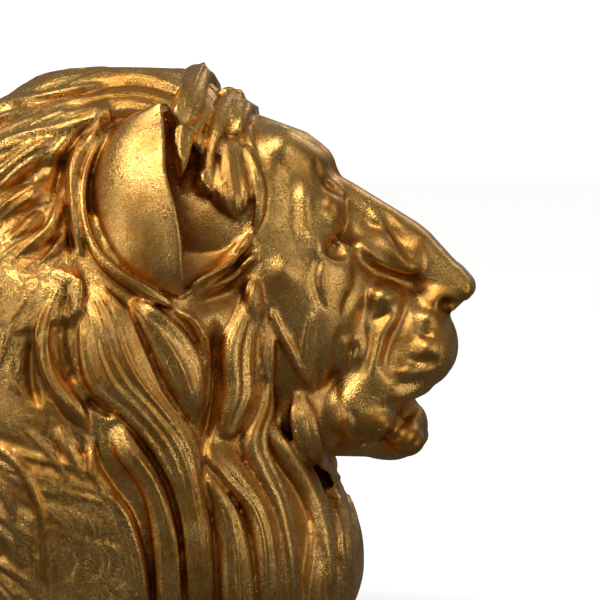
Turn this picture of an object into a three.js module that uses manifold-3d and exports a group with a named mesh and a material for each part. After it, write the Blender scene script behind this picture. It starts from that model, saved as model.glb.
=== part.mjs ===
// A gilded lion's head, cast in one piece as a bust and cut off flat below.
// Millimetres, +Z up. The lion looks along +X, its right side is towards -Y, and the origin is on the
// flat underside, below the middle of the neck.
import * as THREE from "three";
import { mergeVertices } from "three/addons/utils/BufferGeometryUtils.js";
import Module from "manifold-3d";

const wasm = await Module();
wasm.setup();

// Driving dimensions
const bustHeight = 350; // flat underside to the top of the mane
const bustLength = 336; // back of the mane to the tip of the nose
const bustWidth = 244; // across the mane at its fullest
const earWall = 5;
const lockSink = 5; // how deep a lock is bedded in what carries it

// The form is drawn on a frame 350 high, 336 long and 244 wide, and its shares of each are kept
const frameSize = new THREE.Vector3(336, 244, 350);
const stretch = new THREE.Vector3(bustLength, bustWidth, bustHeight).divide(frameSize);

// Fineness of the faceted solid
const headDetail = 10;
const faceCrowding = 0.55;
const maneAround = 20;
const maneRings = 13;
const lockAround = 4;
const lockRings = 5;

// Distance fields: below zero inside, with y folded so that both halves of the face are alike
const ball = (p, c, r) => {
  const q = [(p[0] - c[0]) / r[0], (p[1] - c[1]) / r[1], (p[2] - c[2]) / r[2]];
  const near = Math.hypot(...q) + 1e-9;
  const slope = Math.hypot(q[0] / r[0], q[1] / r[1], q[2] / r[2]) + 1e-9;
  return (near * (near - 1)) / slope;
};

const alongLine = (p, a, b) => {
  const ab = b.map((v, i) => v - a[i]);
  const dot = ab.reduce((s, v, i) => s + v * (p[i] - a[i]), 0);
  const t = THREE.MathUtils.clamp(dot / ab.reduce((s, v) => s + v * v, 0), 0, 1);
  return { t, away: Math.hypot(...ab.map((v, i) => p[i] - a[i] - v * t)) };
};

const limb = (p, a, b, ra, rb) => {
  const { t, away } = alongLine(p, a, b);
  return away - (ra + (rb - ra) * t);
};

// A rounded bar in the middle plane, from a to b, wa to wb wide to each side
const plank = (p, a, b, wa, wb, thick, round) => {
  const length = Math.hypot(b[0] - a[0], b[1] - a[1]);
  const ux = (b[0] - a[0]) / length;
  const uz = (b[1] - a[1]) / length;
  const x = p[0] - a[0];
  const z = p[2] - a[1];
  const s = x * ux + z * uz;
  const half = wa + (wb - wa) * THREE.MathUtils.clamp(s / length, 0, 1);
  const q = [
    Math.abs(s - length / 2) - length / 2 + round,
    Math.abs(p[1]) - half + round,
    Math.abs(z * ux - x * uz) - thick + round,
  ];
  const outside = Math.hypot(...q.map((v) => Math.max(v, 0)));
  return outside + Math.min(Math.max(...q), 0) - round;
};

const join = (a, b, k) => {
  const h = Math.max(k - Math.abs(a - b), 0) / k;
  return Math.min(a, b) - (h * h * k) / 4;
};

const carve = (a, b, k) => -join(-a, b, k);

const nearRoute = (p, route, axes) => {
  const seen = axes.map((i) => p[i]);
  let best = Infinity;
  for (let i = 1; i < route.length; i++)
    best = Math.min(best, alongLine(seen, route[i - 1], route[i]).away);
  return best;
};

// A raised line, or below zero a sunk one, on the side of the face: route is in x and z
const fold = (f, p, route, width, height) => {
  const side = THREE.MathUtils.smoothstep(p[1], 8, 24);
  const away = nearRoute(p, route, [0, 2]);
  return f - height * side * Math.exp(-((away / width) ** 2));
};

const crease = (f, p, route, width, depth) =>
  f + depth * Math.exp(-((nearRoute(p, route, [0, 1, 2]) / width) ** 2));

const eyeCentre = [72, 34.5, 252];
const gaze = new THREE.Vector3(0.8, 0.58, -0.08).normalize();
const eyeLine = new THREE.Vector3(-0.52, 0.78, 0.36).normalize();
const lidUp = gaze.clone().cross(eyeLine).normalize();

// The lid on the side of the eye that sign gives, open by the angle from the line of sight
const lid = (p, radius, sign, open) => {
  const n = lidUp.clone().multiplyScalar(sign * Math.cos(open));
  n.addScaledVector(gaze, -Math.sin(open));
  const q = new THREE.Vector3(...p.map((v, i) => v - eyeCentre[i]));
  return Math.max(q.length() - radius, -q.dot(n));
};

function headField(x, yAcross, z) {
  const y = Math.sqrt(yAcross * yAcross + 0.5);
  const p = [x, y, z];
  let f = ball(p, [8, 0, 240], [80, 66, 70]);
  f = join(f, ball(p, [34, 18, 284], [26, 24, 30]), 16); // forehead
  f = join(f, ball(p, [46, 30, 272], [32, 24, 30]), 12); // temples
  f = join(f, ball(p, [52, 38, 205], [46, 28, 62]), 18); // cheeks
  f = join(f, ball(p, [94, 0, 205], [40, 34, 42]), 18); // snout
  f = join(f, limb(p, [80, 36, 226], [36, 58, 224], 10, 10), 18); // cheekbone
  f = join(f, plank(p, [60, 274.8], [131, 231.5], 20, 22, 16, 10), 8); // bridge of the nose
  f = join(f, limb(p, [68, 17, 288], [80, 24, 264], 10, 8), 7); // frown beside the bridge
  f = join(f, ball(p, [121, 22, 180], [32, 24, 29]), 10); // whisker pads
  f = join(f, limb(p, [122, 22, 164], [92, 30, 142], 19, 20), 8); // hanging lips
  f = join(f, limb(p, [106, 10, 131], [60, 22, 141.5], 21, 30), 10);
  f = join(f, ball(p, [115, 0, 129], [22, 24, 21]), 6); // chin
  f = join(f, plank(p, [124, 240], [157.5, 203], 18, 25, 13, 6), 6); // nose
  f = join(f, ball(p, [143, 17, 204], [12, 10, 9]), 4); // nostril wings
  f = carve(f, limb(p, [161, 10, 203], [148, 24, 203], 3, 4), 2.5); // nostrils
  f = carve(f, ball(p, [87, 40, 254], [11, 14, 11]), 8); // eye sockets
  f = join(f, limb(p, [60, 52, 262], [80, 30, 267], 8, 5), 8); // brows
  f = join(f, ball(p, eyeCentre, [12.2, 12.2, 12.2]), 1);
  f = join(f, lid(p, 14.4, 1, 0.34), 1.5);
  f = join(f, lid(p, 14.2, -1, 0.36), 1.5);
  f = join(f, ball(p, [79, 40, 221], [10, 9, 15]), 6); // pouch below the eye
  f = crease(f, p, [[160, 0, 200], [154, 0, 178], [134, 0, 143]], 3, 4); // parting of the lips
  f = crease(f, p, [[80, 0, 284], [66, 0, 296], [40, 0, 312]], 6, 4); // parting of the brows
  f = fold(f, p, [[133, 143], [116, 128], [99, 117]], 3, -5); // mouth
  f = fold(f, p, [[84, 242], [105, 227], [128, 220]], 5, 2.5); // ridge from eye to nostril
  f = fold(f, p, [[82, 234], [104, 216], [132, 213]], 7, -4);
  f = fold(f, p, [[118, 204], [107, 188], [103, 158]], 5, 2.5); // back of the whisker pad
  f = fold(f, p, [[108, 200], [98, 182], [90, 144]], 6, -4);
  f = fold(f, p, [[90, 196], [89, 180], [86, 160]], 6, 2.5);
  return f;
}

// The mane's body: at each height its front and back ends and its half width
const maneRows = [
  [-12, 76, -122, 86],
  [24, 87, -138, 96],
  [60, 89, -150, 104],
  [92, 76, -158, 109],
  [120, 64, -163, 112],
  [160, 58, -167, 113],
  [200, 56, -168, 110],
  [232, 54, -167, 102],
  [258, 50, -163, 92],
  [284, 42, -154, 79],
  [308, 30, -137, 64],
  [326, 14, -112, 48],
  [340, -10, -78, 28],
];
const maneSquareness = 2.25;

function maneRow(z) {
  const last = maneRows.length - 2;
  let i = 0;
  while (i < last && z > maneRows[i + 1][0]) i++;
  const [a, b] = [maneRows[i], maneRows[i + 1]];
  const before = maneRows[Math.max(i - 1, 0)];
  const after = maneRows[Math.min(i + 2, last + 1)];
  const step = b[0] - a[0];
  const t = THREE.MathUtils.clamp((z - a[0]) / step, 0, 1);
  return [1, 2, 3].map((k) => {
    const leave = ((b[k] - before[k]) / (b[0] - before[0])) * step;
    const arrive = ((after[k] - a[k]) / (after[0] - a[0])) * step;
    const share = 3 * t ** 2 - 2 * t ** 3;
    return (1 - share) * a[k] + share * b[k] + (t ** 3 - 2 * t ** 2 + t) * leave + (t ** 3 - t ** 2) * arrive;
  });
}

const maneTop = maneRows[maneRows.length - 1][0];
const slabDepth = 100; // deeper than anything that hangs below the underside

function maneField(x, y, z) {
  const [front, back, half] = maneRow(Math.min(z, maneTop));
  const middle = (front + back) / 2;
  const length = (front - back) / 2;
  const n = maneSquareness;
  const round = (Math.abs((x - middle) / length) ** n + Math.abs(y / half) ** n) ** (1 / n);
  return Math.max((round - 1) * Math.min(length, half), z - maneTop);
}

const skin = (p) => Math.min(headField(p.x, p.y, p.z), maneField(p.x, p.y, p.z));

const skinNormal = (p) => {
  const e = 2;
  const slope = ["x", "y", "z"].map((axis) => {
    const [up, down] = [p.clone(), p.clone()];
    up[axis] += e;
    down[axis] -= e;
    return skin(up) - skin(down);
  });
  return new THREE.Vector3(...slope).normalize();
};

// Each view looks at the bust from one side: where a point of the picture lies, and which way is in.
// The side views look a little from before and from above.
const sightTurn = THREE.MathUtils.degToRad(5);
const sightDrop = THREE.MathUtils.degToRad(3);
const viewReach = 240; // from the middle plane out to clear of the bust

function sideView(side) {
  const across = Math.cos(sightTurn) * Math.cos(sightDrop);
  const inward = new THREE.Vector3(-Math.sin(sightTurn), -side * across, -Math.sin(sightDrop)).normalize();
  return { place: (u, v) => new THREE.Vector3(u, 0, v).addScaledVector(inward, -viewReach), inward };
}

const views = {
  right: sideView(-1),
  left: sideView(1),
  back: { place: (u, v) => new THREE.Vector3(-viewReach, u, v), inward: new THREE.Vector3(1, 0, 0) },
  front: { place: (u, v) => new THREE.Vector3(viewReach, u, v), inward: new THREE.Vector3(-1, 0, 0) },
  top: { place: (u, v) => new THREE.Vector3(u, v, 200 + viewReach), inward: new THREE.Vector3(0, 0, -1) },
};

function onSkin(view, u, v) {
  const p = views[view].place(u, v);
  for (let i = 0; i < 160; i++) {
    const gap = skin(p);
    if (gap < 0.2) break;
    p.addScaledVector(views[view].inward, Math.max(gap * 0.6, 0.3));
  }
  return p;
}

// Solids
const merged = (geometry) => {
  geometry.deleteAttribute("normal");
  geometry.deleteAttribute("uv");
  return mergeVertices(geometry, 1e-3);
};

// A closed solid, taken from the drawing frame to its real size
function solid(geometry) {
  const g = merged(geometry).scale(...stretch);
  const make = (triVerts) =>
    new wasm.Manifold(
      new wasm.Mesh({ numProp: 3, vertProperties: new Float32Array(g.attributes.position.array), triVerts }),
    );
  const triVerts = new Uint32Array(g.index.array);
  const made = make(triVerts);
  if (made.volume() > 0) return made;
  return make(triVerts.map((_, i) => triVerts[i - (i % 3) + 2 - (i % 3)]));
}

// A unit sphere whose rings become the sections of a form: place(t, turn) with t from 0 to 1
function shaped(around, rings, place) {
  const g = merged(new THREE.SphereGeometry(1, around, rings));
  const at = g.attributes.position;
  for (let i = 0; i < at.count; i++) {
    const t = Math.acos(THREE.MathUtils.clamp(at.getY(i), -1, 1)) / Math.PI;
    const p = place(t, Math.atan2(at.getZ(i), at.getX(i)));
    at.setXYZ(i, p.x, p.y, p.z);
  }
  return solid(g);
}

const signedPower = (v, power) => Math.sign(v) * Math.abs(v) ** power;

function maneBody() {
  const bottom = maneRows[0][0];
  return shaped(maneAround, maneRings, (t, turn) => {
    const end = Math.min(t, 1 - t);
    const closing = Math.min(end * maneRings, 1);
    const z = maneTop + (bottom - maneTop) * THREE.MathUtils.clamp((t * maneRings - 1) / (maneRings - 2), 0, 1);
    const [front, back, half] = maneRow(z);
    const power = 2 / maneSquareness;
    const x = (front + back) / 2 + (closing * (front - back) * signedPower(Math.cos(turn), power)) / 2;
    const y = closing * half * signedPower(Math.sin(turn), power);
    return new THREE.Vector3(x, y, z + (closing < 1 && t < 0.5 ? 6 : 0));
  });
}

// The head is a sphere of points drawn in onto its field, closest together towards the face
function head() {
  const middle = new THREE.Vector3(20, 0, 215);
  const g = merged(new THREE.IcosahedronGeometry(1, headDetail));
  const at = g.attributes.position;
  for (let i = 0; i < at.count; i++) {
    const way = new THREE.Vector3().fromBufferAttribute(at, i).normalize();
    const turn = Math.acos(THREE.MathUtils.clamp(way.x, -1, 1));
    const drawn = turn - faceCrowding * Math.sin(turn);
    const across = Math.sin(turn) > 1e-6 ? Math.sin(drawn) / Math.sin(turn) : 1;
    way.set(Math.cos(drawn), way.y * across, way.z * across).normalize();
    let reach = 190;
    for (let step = 0; step < 250; step++) {
      const p = middle.clone().addScaledVector(way, reach);
      const gap = headField(p.x, p.y, p.z);
      if (gap < 0.05) break;
      reach -= Math.max(gap * 0.5, 0.1);
    }
    const p = middle.clone().addScaledVector(way, reach);
    at.setXYZ(i, p.x, p.y, p.z);
  }
  return solid(g);
}

// One lock of hair, bedded in the skin. The route is seen in one view, from root to tip.
function lock({ view, route, width, height }) {
  const samples = 24;
  const flat = new THREE.SplineCurve(route.map(([u, v]) => new THREE.Vector2(u, v)));
  const path = flat.getPoints(samples).map((p) => onSkin(view, p.x, p.y));
  const normals = path.map(skinNormal);
  const smoothed = (list, i) => {
    const sum = new THREE.Vector3();
    for (let k = -2; k <= 2; k++) sum.add(list[THREE.MathUtils.clamp(i + k, 0, samples)]);
    return sum.multiplyScalar(1 / 5);
  };
  const line = new THREE.CatmullRomCurve3(path.map((_, i) => smoothed(path, i)));
  const ups = new THREE.CatmullRomCurve3(normals.map((_, i) => smoothed(normals, i)));
  return shaped(lockAround, lockRings, (t, turn) => {
    const along = line.getTangent(t);
    const up = ups.getPoint(t).normalize();
    const across = along.clone().cross(up).normalize();
    const swell = Math.sin(Math.PI * Math.min(0.08 + 0.92 * t, 1) ** 0.75) ** 0.6;
    const taper = t <= 0 || t >= 1 ? 0 : swell;
    const rise = Math.sin(turn);
    const ridge = rise > 0 ? height * rise ** 0.85 : (lockSink / stretch.y) * rise;
    const p = line.getPoint(t);
    p.addScaledVector(across, taper * (width / 2) * Math.cos(turn));
    return p.addScaledVector(up, (0.35 + 0.65 * taper) * ridge * Math.sign(taper));
  });
}

// Fans of locks on one side, seen from the side in x and z: count locks lie from the first route to the last
const sideFans = [
  // Crown to nape
  {
    first: [[-20, 334], [-66, 326], [-108, 314], [-150, 284]],
    last: [[-78, 272], [-88, 246], [-104, 228], [-128, 196]],
    count: 4,
    width: 32,
    height: 12,
  },
  // Round the ear
  {
    first: [[-44, 318], [-70, 280], [-66, 234], [-16, 200]],
    last: [[-44, 318], [-70, 280], [-66, 234], [-16, 200]],
    count: 1,
    width: 16,
    height: 10,
  },
  // Neck
  {
    first: [[-76, 228], [-104, 200], [-124, 172], [-134, 140]],
    last: [[-76, 214], [-92, 184], [-88, 156], [-64, 129]],
    count: 3,
    width: 24,
    height: 12,
  },
  // Below the ear
  {
    first: [[-70, 214], [-64, 184], [-56, 156], [-42, 130]],
    last: [[-50, 214], [-34, 190], [-22, 164], [-16, 140]],
    count: 2,
    width: 30,
    height: 12,
  },
  // Shoulder
  {
    first: [[-130, 124], [-106, 108], [-96, 84], [-92, 44]],
    last: [[-122, 156], [-98, 130], [-72, 102], [-54, 52]],
    count: 2,
    width: 30,
    height: 12,
  },
  {
    first: [[-66, 126], [-66, 108], [-54, 82], [-40, 44]],
    last: [[-46, 150], [-32, 132], [-16, 108], [-12, 70]],
    count: 2,
    width: 26,
    height: 11,
  },
  // Throat
  {
    first: [[-34, 158], [-14, 140], [-4, 112], [4, 60]],
    last: [[24, 204], [26, 172], [24, 140], [30, 112]],
    count: 3,
    width: 30,
    height: 12,
  },
  // Beside the jaw
  {
    first: [[34, 196], [28, 158], [28, 118], [48, 52]],
    last: [[46, 200], [60, 160], [70, 122], [80, 84]],
    count: 3,
    width: 22,
    height: 12,
  },
  // Chest
  {
    first: [[10, 110], [20, 90], [32, 50], [34, 12]],
    last: [[62, 120], [72, 84], [76, 48], [72, 12]],
    count: 2,
    width: 26,
    height: 11,
  },
  {
    first: [[-92, 66], [-84, 46], [-80, 26], [-78, 8]],
    last: [[-26, 76], [-20, 52], [-16, 32], [-14, 8]],
    count: 2,
    width: 26,
    height: 11,
  },
  // Before the ear
  {
    first: [[28, 323], [6, 306], [2, 276], [22, 252]],
    last: [[26, 298], [38, 280], [40, 258], [32, 238]],
    count: 2,
    width: 12,
    height: 9,
  },
];

const between = (fan, share) =>
  fan.first.map(([u, v], i) => [
    THREE.MathUtils.lerp(u, fan.last[i][0], share),
    THREE.MathUtils.lerp(v, fan.last[i][1], share),
  ]);

function maneLocks() {
  const made = [];
  for (const fan of sideFans)
    for (let i = 0; i < fan.count; i++) {
      const route = between(fan, fan.count > 1 ? i / (fan.count - 1) : 0);
      for (const view of ["right", "left"]) made.push({ ...fan, view, route });
    }
  // Behind, long locks fall from the crown in three rows, each lock swaying
  const backRows = [
    [0, 316, 196, 3, 96],
    [1, 216, 92, 4, 150],
    [2, 110, 12, 3, 120],
  ];
  for (const [row, top, bottom, count, reach] of backRows)
    for (let i = 0; i < count; i++) {
      const y = (i / (count - 1) - 0.5) * reach;
      const sway = (i + row) % 2 ? 10 : -10;
      const route = [
        [y * 0.6, top],
        [y * 0.8 + sway, top * 0.67 + bottom * 0.33],
        [y - sway, top * 0.33 + bottom * 0.67],
        [y + sway * 0.6, bottom],
      ];
      made.push({ view: "back", route, width: 44, height: 14 });
    }
  // On the chest, locks part below the chin, and on the crown they run back from the forehead
  for (const side of [-1, 1]) {
    const route = [[side * 6, 98], [side * 26, 62], [side * 22, 14]];
    made.push({ view: "front", route, width: 34, height: 11 });
  }
  for (const side of [-1, 0, 1]) {
    const route = [[40, side * 14], [0, side * 24], [-44, side * 30], [-106, side * 44]];
    made.push({ view: "top", route, width: 34, height: 10 });
  }
  return made;
}

// An ear is a cup: at each height its middle, and how far it reaches back, forward and outward from there
const earRows = [
  { x: -3, out: 96, z: 211, back: 3, front: 3, depth: 3 },
  { x: -3, out: 85, z: 222, back: 34, front: 13, depth: 20 },
  { x: -2, out: 68, z: 240, back: 51, front: 32, depth: 37 },
  { x: -3, out: 56, z: 261, back: 54, front: 40, depth: 45 },
  { x: -8, out: 54, z: 282, back: 49, front: 42, depth: 41 },
  { x: -12, out: 57, z: 300, back: 37, front: 32, depth: 29 },
  { x: -14, out: 64, z: 314, back: 20, front: 17, depth: 15 },
  { x: -15, out: 71, z: 323, back: 4, front: 4, depth: 4 },
];
const earInnerShare = 0.4; // the cup is flatter towards the head
const earSteps = 10;
const earTurns = 8;

const earMiddle = new THREE.CatmullRomCurve3(earRows.map((row) => new THREE.Vector3(row.x, row.out, row.z)));
const earReach = new THREE.CatmullRomCurve3(earRows.map((row) => new THREE.Vector3(row.back, row.front, row.depth)));

function earRow(t) {
  const [back, front, depth] = earReach.getPoint(t).toArray();
  return { middle: earMiddle.getPoint(t), back, front, depth };
}

// How much the inner skin of a row lies within its outer one
const earShrink = (row) => Math.min(earWall / stretch.x, Math.min(row.front, row.depth) * 0.45);

const earPoint = ({ middle, back, front, depth }, angle, side, shrink) => {
  const reach = Math.max((Math.cos(angle) < 0 ? back : front) - shrink, 0.6);
  const outward = Math.max(depth - shrink, 0.6) * (Math.sin(angle) < 0 ? 1 : earInnerShare);
  return new THREE.Vector3(
    middle.x + reach * Math.cos(angle),
    side * (middle.y - outward * Math.sin(angle)),
    middle.z,
  );
};

// A closed skin from rings of points, each ring with as many
function lofted(rings) {
  const count = rings[0].length;
  const points = rings.flat();
  const index = [];
  for (let i = 0; i + 1 < rings.length; i++)
    for (let j = 0; j < count; j++) {
      const [a, b] = [i * count + j, i * count + ((j + 1) % count)];
      index.push(a, b, b + count, a, b + count, a + count);
    }
  for (const [start, flip] of [[0, true], [(rings.length - 1) * count, false]]) {
    const centre = points.length;
    const middle = new THREE.Vector3();
    for (let j = 0; j < count; j++) middle.addScaledVector(points[start + j], 1 / count);
    points.push(middle);
    for (let j = 0; j < count; j++) {
      const [a, b] = [start + j, start + ((j + 1) % count)];
      index.push(...(flip ? [centre, b, a] : [centre, a, b]));
    }
  }
  const g = new THREE.BufferGeometry().setFromPoints(points);
  g.setIndex(index);
  return solid(g);
}

function earShell(side) {
  const rings = [];
  for (let i = 0; i <= earSteps; i++) {
    const row = earRow(i / earSteps);
    const turns = [];
    for (let j = 0; j <= earTurns; j++) turns.push(-Math.PI / 2 - (j / earTurns) * Math.PI * 1.5);
    const outer = turns.map((angle) => earPoint(row, angle, side, 0));
    const inner = turns.map((angle) => earPoint(row, angle, side, earShrink(row)));
    rings.push([...outer, ...inner.reverse()]);
  }
  return lofted(rings);
}

function earHollow(side) {
  const rings = [];
  for (let i = 1; i < earSteps; i++) {
    const row = earRow(i / earSteps);
    const ring = [];
    for (let j = 0; j < 2 * earTurns; j++) {
      const angle = (-j / earTurns) * Math.PI;
      const facesOut = Math.cos(angle) > 0 && Math.sin(angle) < 0;
      const open = facesOut ? Math.max(-Math.sin(2 * angle), 0) : 0;
      const p = earPoint(row, angle, side, earShrink(row));
      p.x += 16 * open;
      p.y += side * 22 * open;
      ring.push(p);
    }
    rings.push(ring);
  }
  return lofted(rings);
}

function bust() {
  const locks = maneLocks().map(lock);
  let made = maneBody().add(head());
  for (const item of locks) made = made.add(item);
  for (const side of [-1, 1]) made = made.subtract(earHollow(side)).add(earShell(side));
  // What hangs below the flat underside is cut off
  const slab = new THREE.BoxGeometry(2 * frameSize.x, 2 * frameSize.x, slabDepth);
  slab.translate(0, 0, -slabDepth / 2);
  return made.subtract(solid(slab));
}

function meshOf(made, name, material) {
  const parts = made.decompose();
  const body = parts.reduce((best, part) => (part.volume() > best.volume() ? part : best));
  const { vertProperties, triVerts, numProp } = body.getMesh();
  const place = new Float32Array((vertProperties.length / numProp) * 3);
  for (let i = 0; i < place.length / 3; i++) {
    const start = i * numProp;
    place.set(vertProperties.subarray(start, start + 3), i * 3);
  }
  const g = new THREE.BufferGeometry();
  g.setAttribute("position", new THREE.BufferAttribute(place, 3));
  g.setIndex(new THREE.BufferAttribute(new Uint32Array(triVerts), 1));
  g.computeVertexNormals();
  const mesh = new THREE.Mesh(g, material);
  mesh.name = name;
  return mesh;
}

const gold = new THREE.MeshStandardMaterial({ color: 0xb8873a, roughness: 0.35, metalness: 1 });
const group = new THREE.Group();
group.add(meshOf(bust(), "lion_bust", gold));
export default group;
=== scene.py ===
import math

import bmesh
import bpy
import numpy as np
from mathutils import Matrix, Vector
from mathutils.bvhtree import BVHTree
from mathutils.kdtree import KDTree


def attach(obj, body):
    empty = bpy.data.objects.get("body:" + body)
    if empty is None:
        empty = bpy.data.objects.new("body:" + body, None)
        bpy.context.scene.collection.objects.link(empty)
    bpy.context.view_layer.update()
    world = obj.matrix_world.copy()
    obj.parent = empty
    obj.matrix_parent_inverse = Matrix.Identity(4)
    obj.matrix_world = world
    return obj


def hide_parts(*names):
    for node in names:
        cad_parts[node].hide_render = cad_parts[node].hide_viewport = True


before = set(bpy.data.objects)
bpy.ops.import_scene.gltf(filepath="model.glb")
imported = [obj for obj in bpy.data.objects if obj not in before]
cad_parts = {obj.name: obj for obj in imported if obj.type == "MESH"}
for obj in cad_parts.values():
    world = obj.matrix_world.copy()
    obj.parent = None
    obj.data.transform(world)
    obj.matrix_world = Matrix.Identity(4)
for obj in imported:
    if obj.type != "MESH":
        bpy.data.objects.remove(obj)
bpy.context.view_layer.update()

mm = 0.001  # forms are worked out in millimetres, and meshes are in metres

# The photograph looks at the lion's right side, a little from before and from above
sight = {"turn": math.radians(5.0), "drop": math.radians(3.0)}


# Distance fields: below zero inside. A point is the last axis of an array.
def ball(p, centre, radii):
    q = (p - np.array(centre)) / np.array(radii)
    near = np.linalg.norm(q, axis=-1) + 1e-9
    slope = np.linalg.norm(q / np.array(radii), axis=-1) + 1e-9
    return near * (near - 1) / slope


def alongLine(p, a, b):
    a, b = np.array(a, float), np.array(b, float)
    t = np.clip((p - a) @ (b - a) / ((b - a) @ (b - a)), 0, 1)
    return t, np.linalg.norm(p - a - t[..., None] * (b - a), axis=-1)


def limb(p, a, b, startRadius, endRadius):
    t, away = alongLine(p, a, b)
    return away - (startRadius + (endRadius - startRadius) * t)


def bar(p, a, b, startHalf, endHalf, thick, rounding):
    # A rounded bar in the middle plane from a to b, which are in x and z
    length = math.hypot(b[0] - a[0], b[1] - a[1])
    ux, uz = (b[0] - a[0]) / length, (b[1] - a[1]) / length
    x, z = p[..., 0] - a[0], p[..., 2] - a[1]
    s = x * ux + z * uz
    half = startHalf + (endHalf - startHalf) * np.clip(s / length, 0, 1)
    q = np.stack([
        np.abs(s - length / 2) - length / 2 + rounding,
        np.abs(p[..., 1]) - half + rounding,
        np.abs(z * ux - x * uz) - thick + rounding,
    ], -1)
    outside = np.linalg.norm(np.maximum(q, 0), axis=-1)
    return outside + np.minimum(q.max(-1), 0) - rounding


def joined(a, b, k):
    h = np.maximum(k - np.abs(a - b), 0) / k
    return np.minimum(a, b) - h * h * k / 4


def carved(a, b, k):
    return -joined(-a, b, k)


def nearRoute(p, route):
    best = np.full(p.shape[:-1], 1e9)
    for a, b in zip(route[:-1], route[1:]):
        best = np.minimum(best, alongLine(p, a, b)[1])
    return best


def eased(v, low, high):
    t = np.clip((v - low) / (high - low), 0, 1)
    return t * t * (3 - 2 * t)


# Picture: 600 pixels across. Some forms are placed by the pixels of the photograph that show them.
picture = {"pixel": 0.6, "middle": 200, "foot": 640}  # mm in one pixel, and the pixels where x and z are zero


def seenAt(x, y, out):
    # The point that the photograph shows at a pixel, so far out from the middle plane
    u, v = (x - picture["middle"]) * picture["pixel"], (picture["foot"] - y) * picture["pixel"]
    turn, drop = sight["turn"], sight["drop"]
    return (u + out * math.sin(turn)) / math.cos(turn), out, (v + out * math.sin(drop)) / math.cos(drop)


def splinePoints(route, count):
    # A smooth curve through the route's points, at even steps of its length
    points = np.array(route, float)
    padded = np.vstack([2 * points[0] - points[1], points, 2 * points[-1] - points[-2]])
    at = np.linspace(0, len(points) - 1, 20 * len(points))
    i = np.minimum(at.astype(int), len(points) - 2)
    t = (at - i)[:, None]
    a, b, c, d = (padded[i + k] for k in range(4))
    fine = 0.5 * (2 * b + (c - a) * t + (2 * a - 5 * b + 4 * c - d) * t**2 + (3 * b - a - 3 * c + d) * t**3)
    run = np.concatenate([[0], np.cumsum(np.linalg.norm(np.diff(fine, axis=0), axis=1))])
    even = np.linspace(0, run[-1], count)
    return np.stack([np.interp(even, run, fine[:, k]) for k in range(points.shape[1])], 1)


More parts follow.
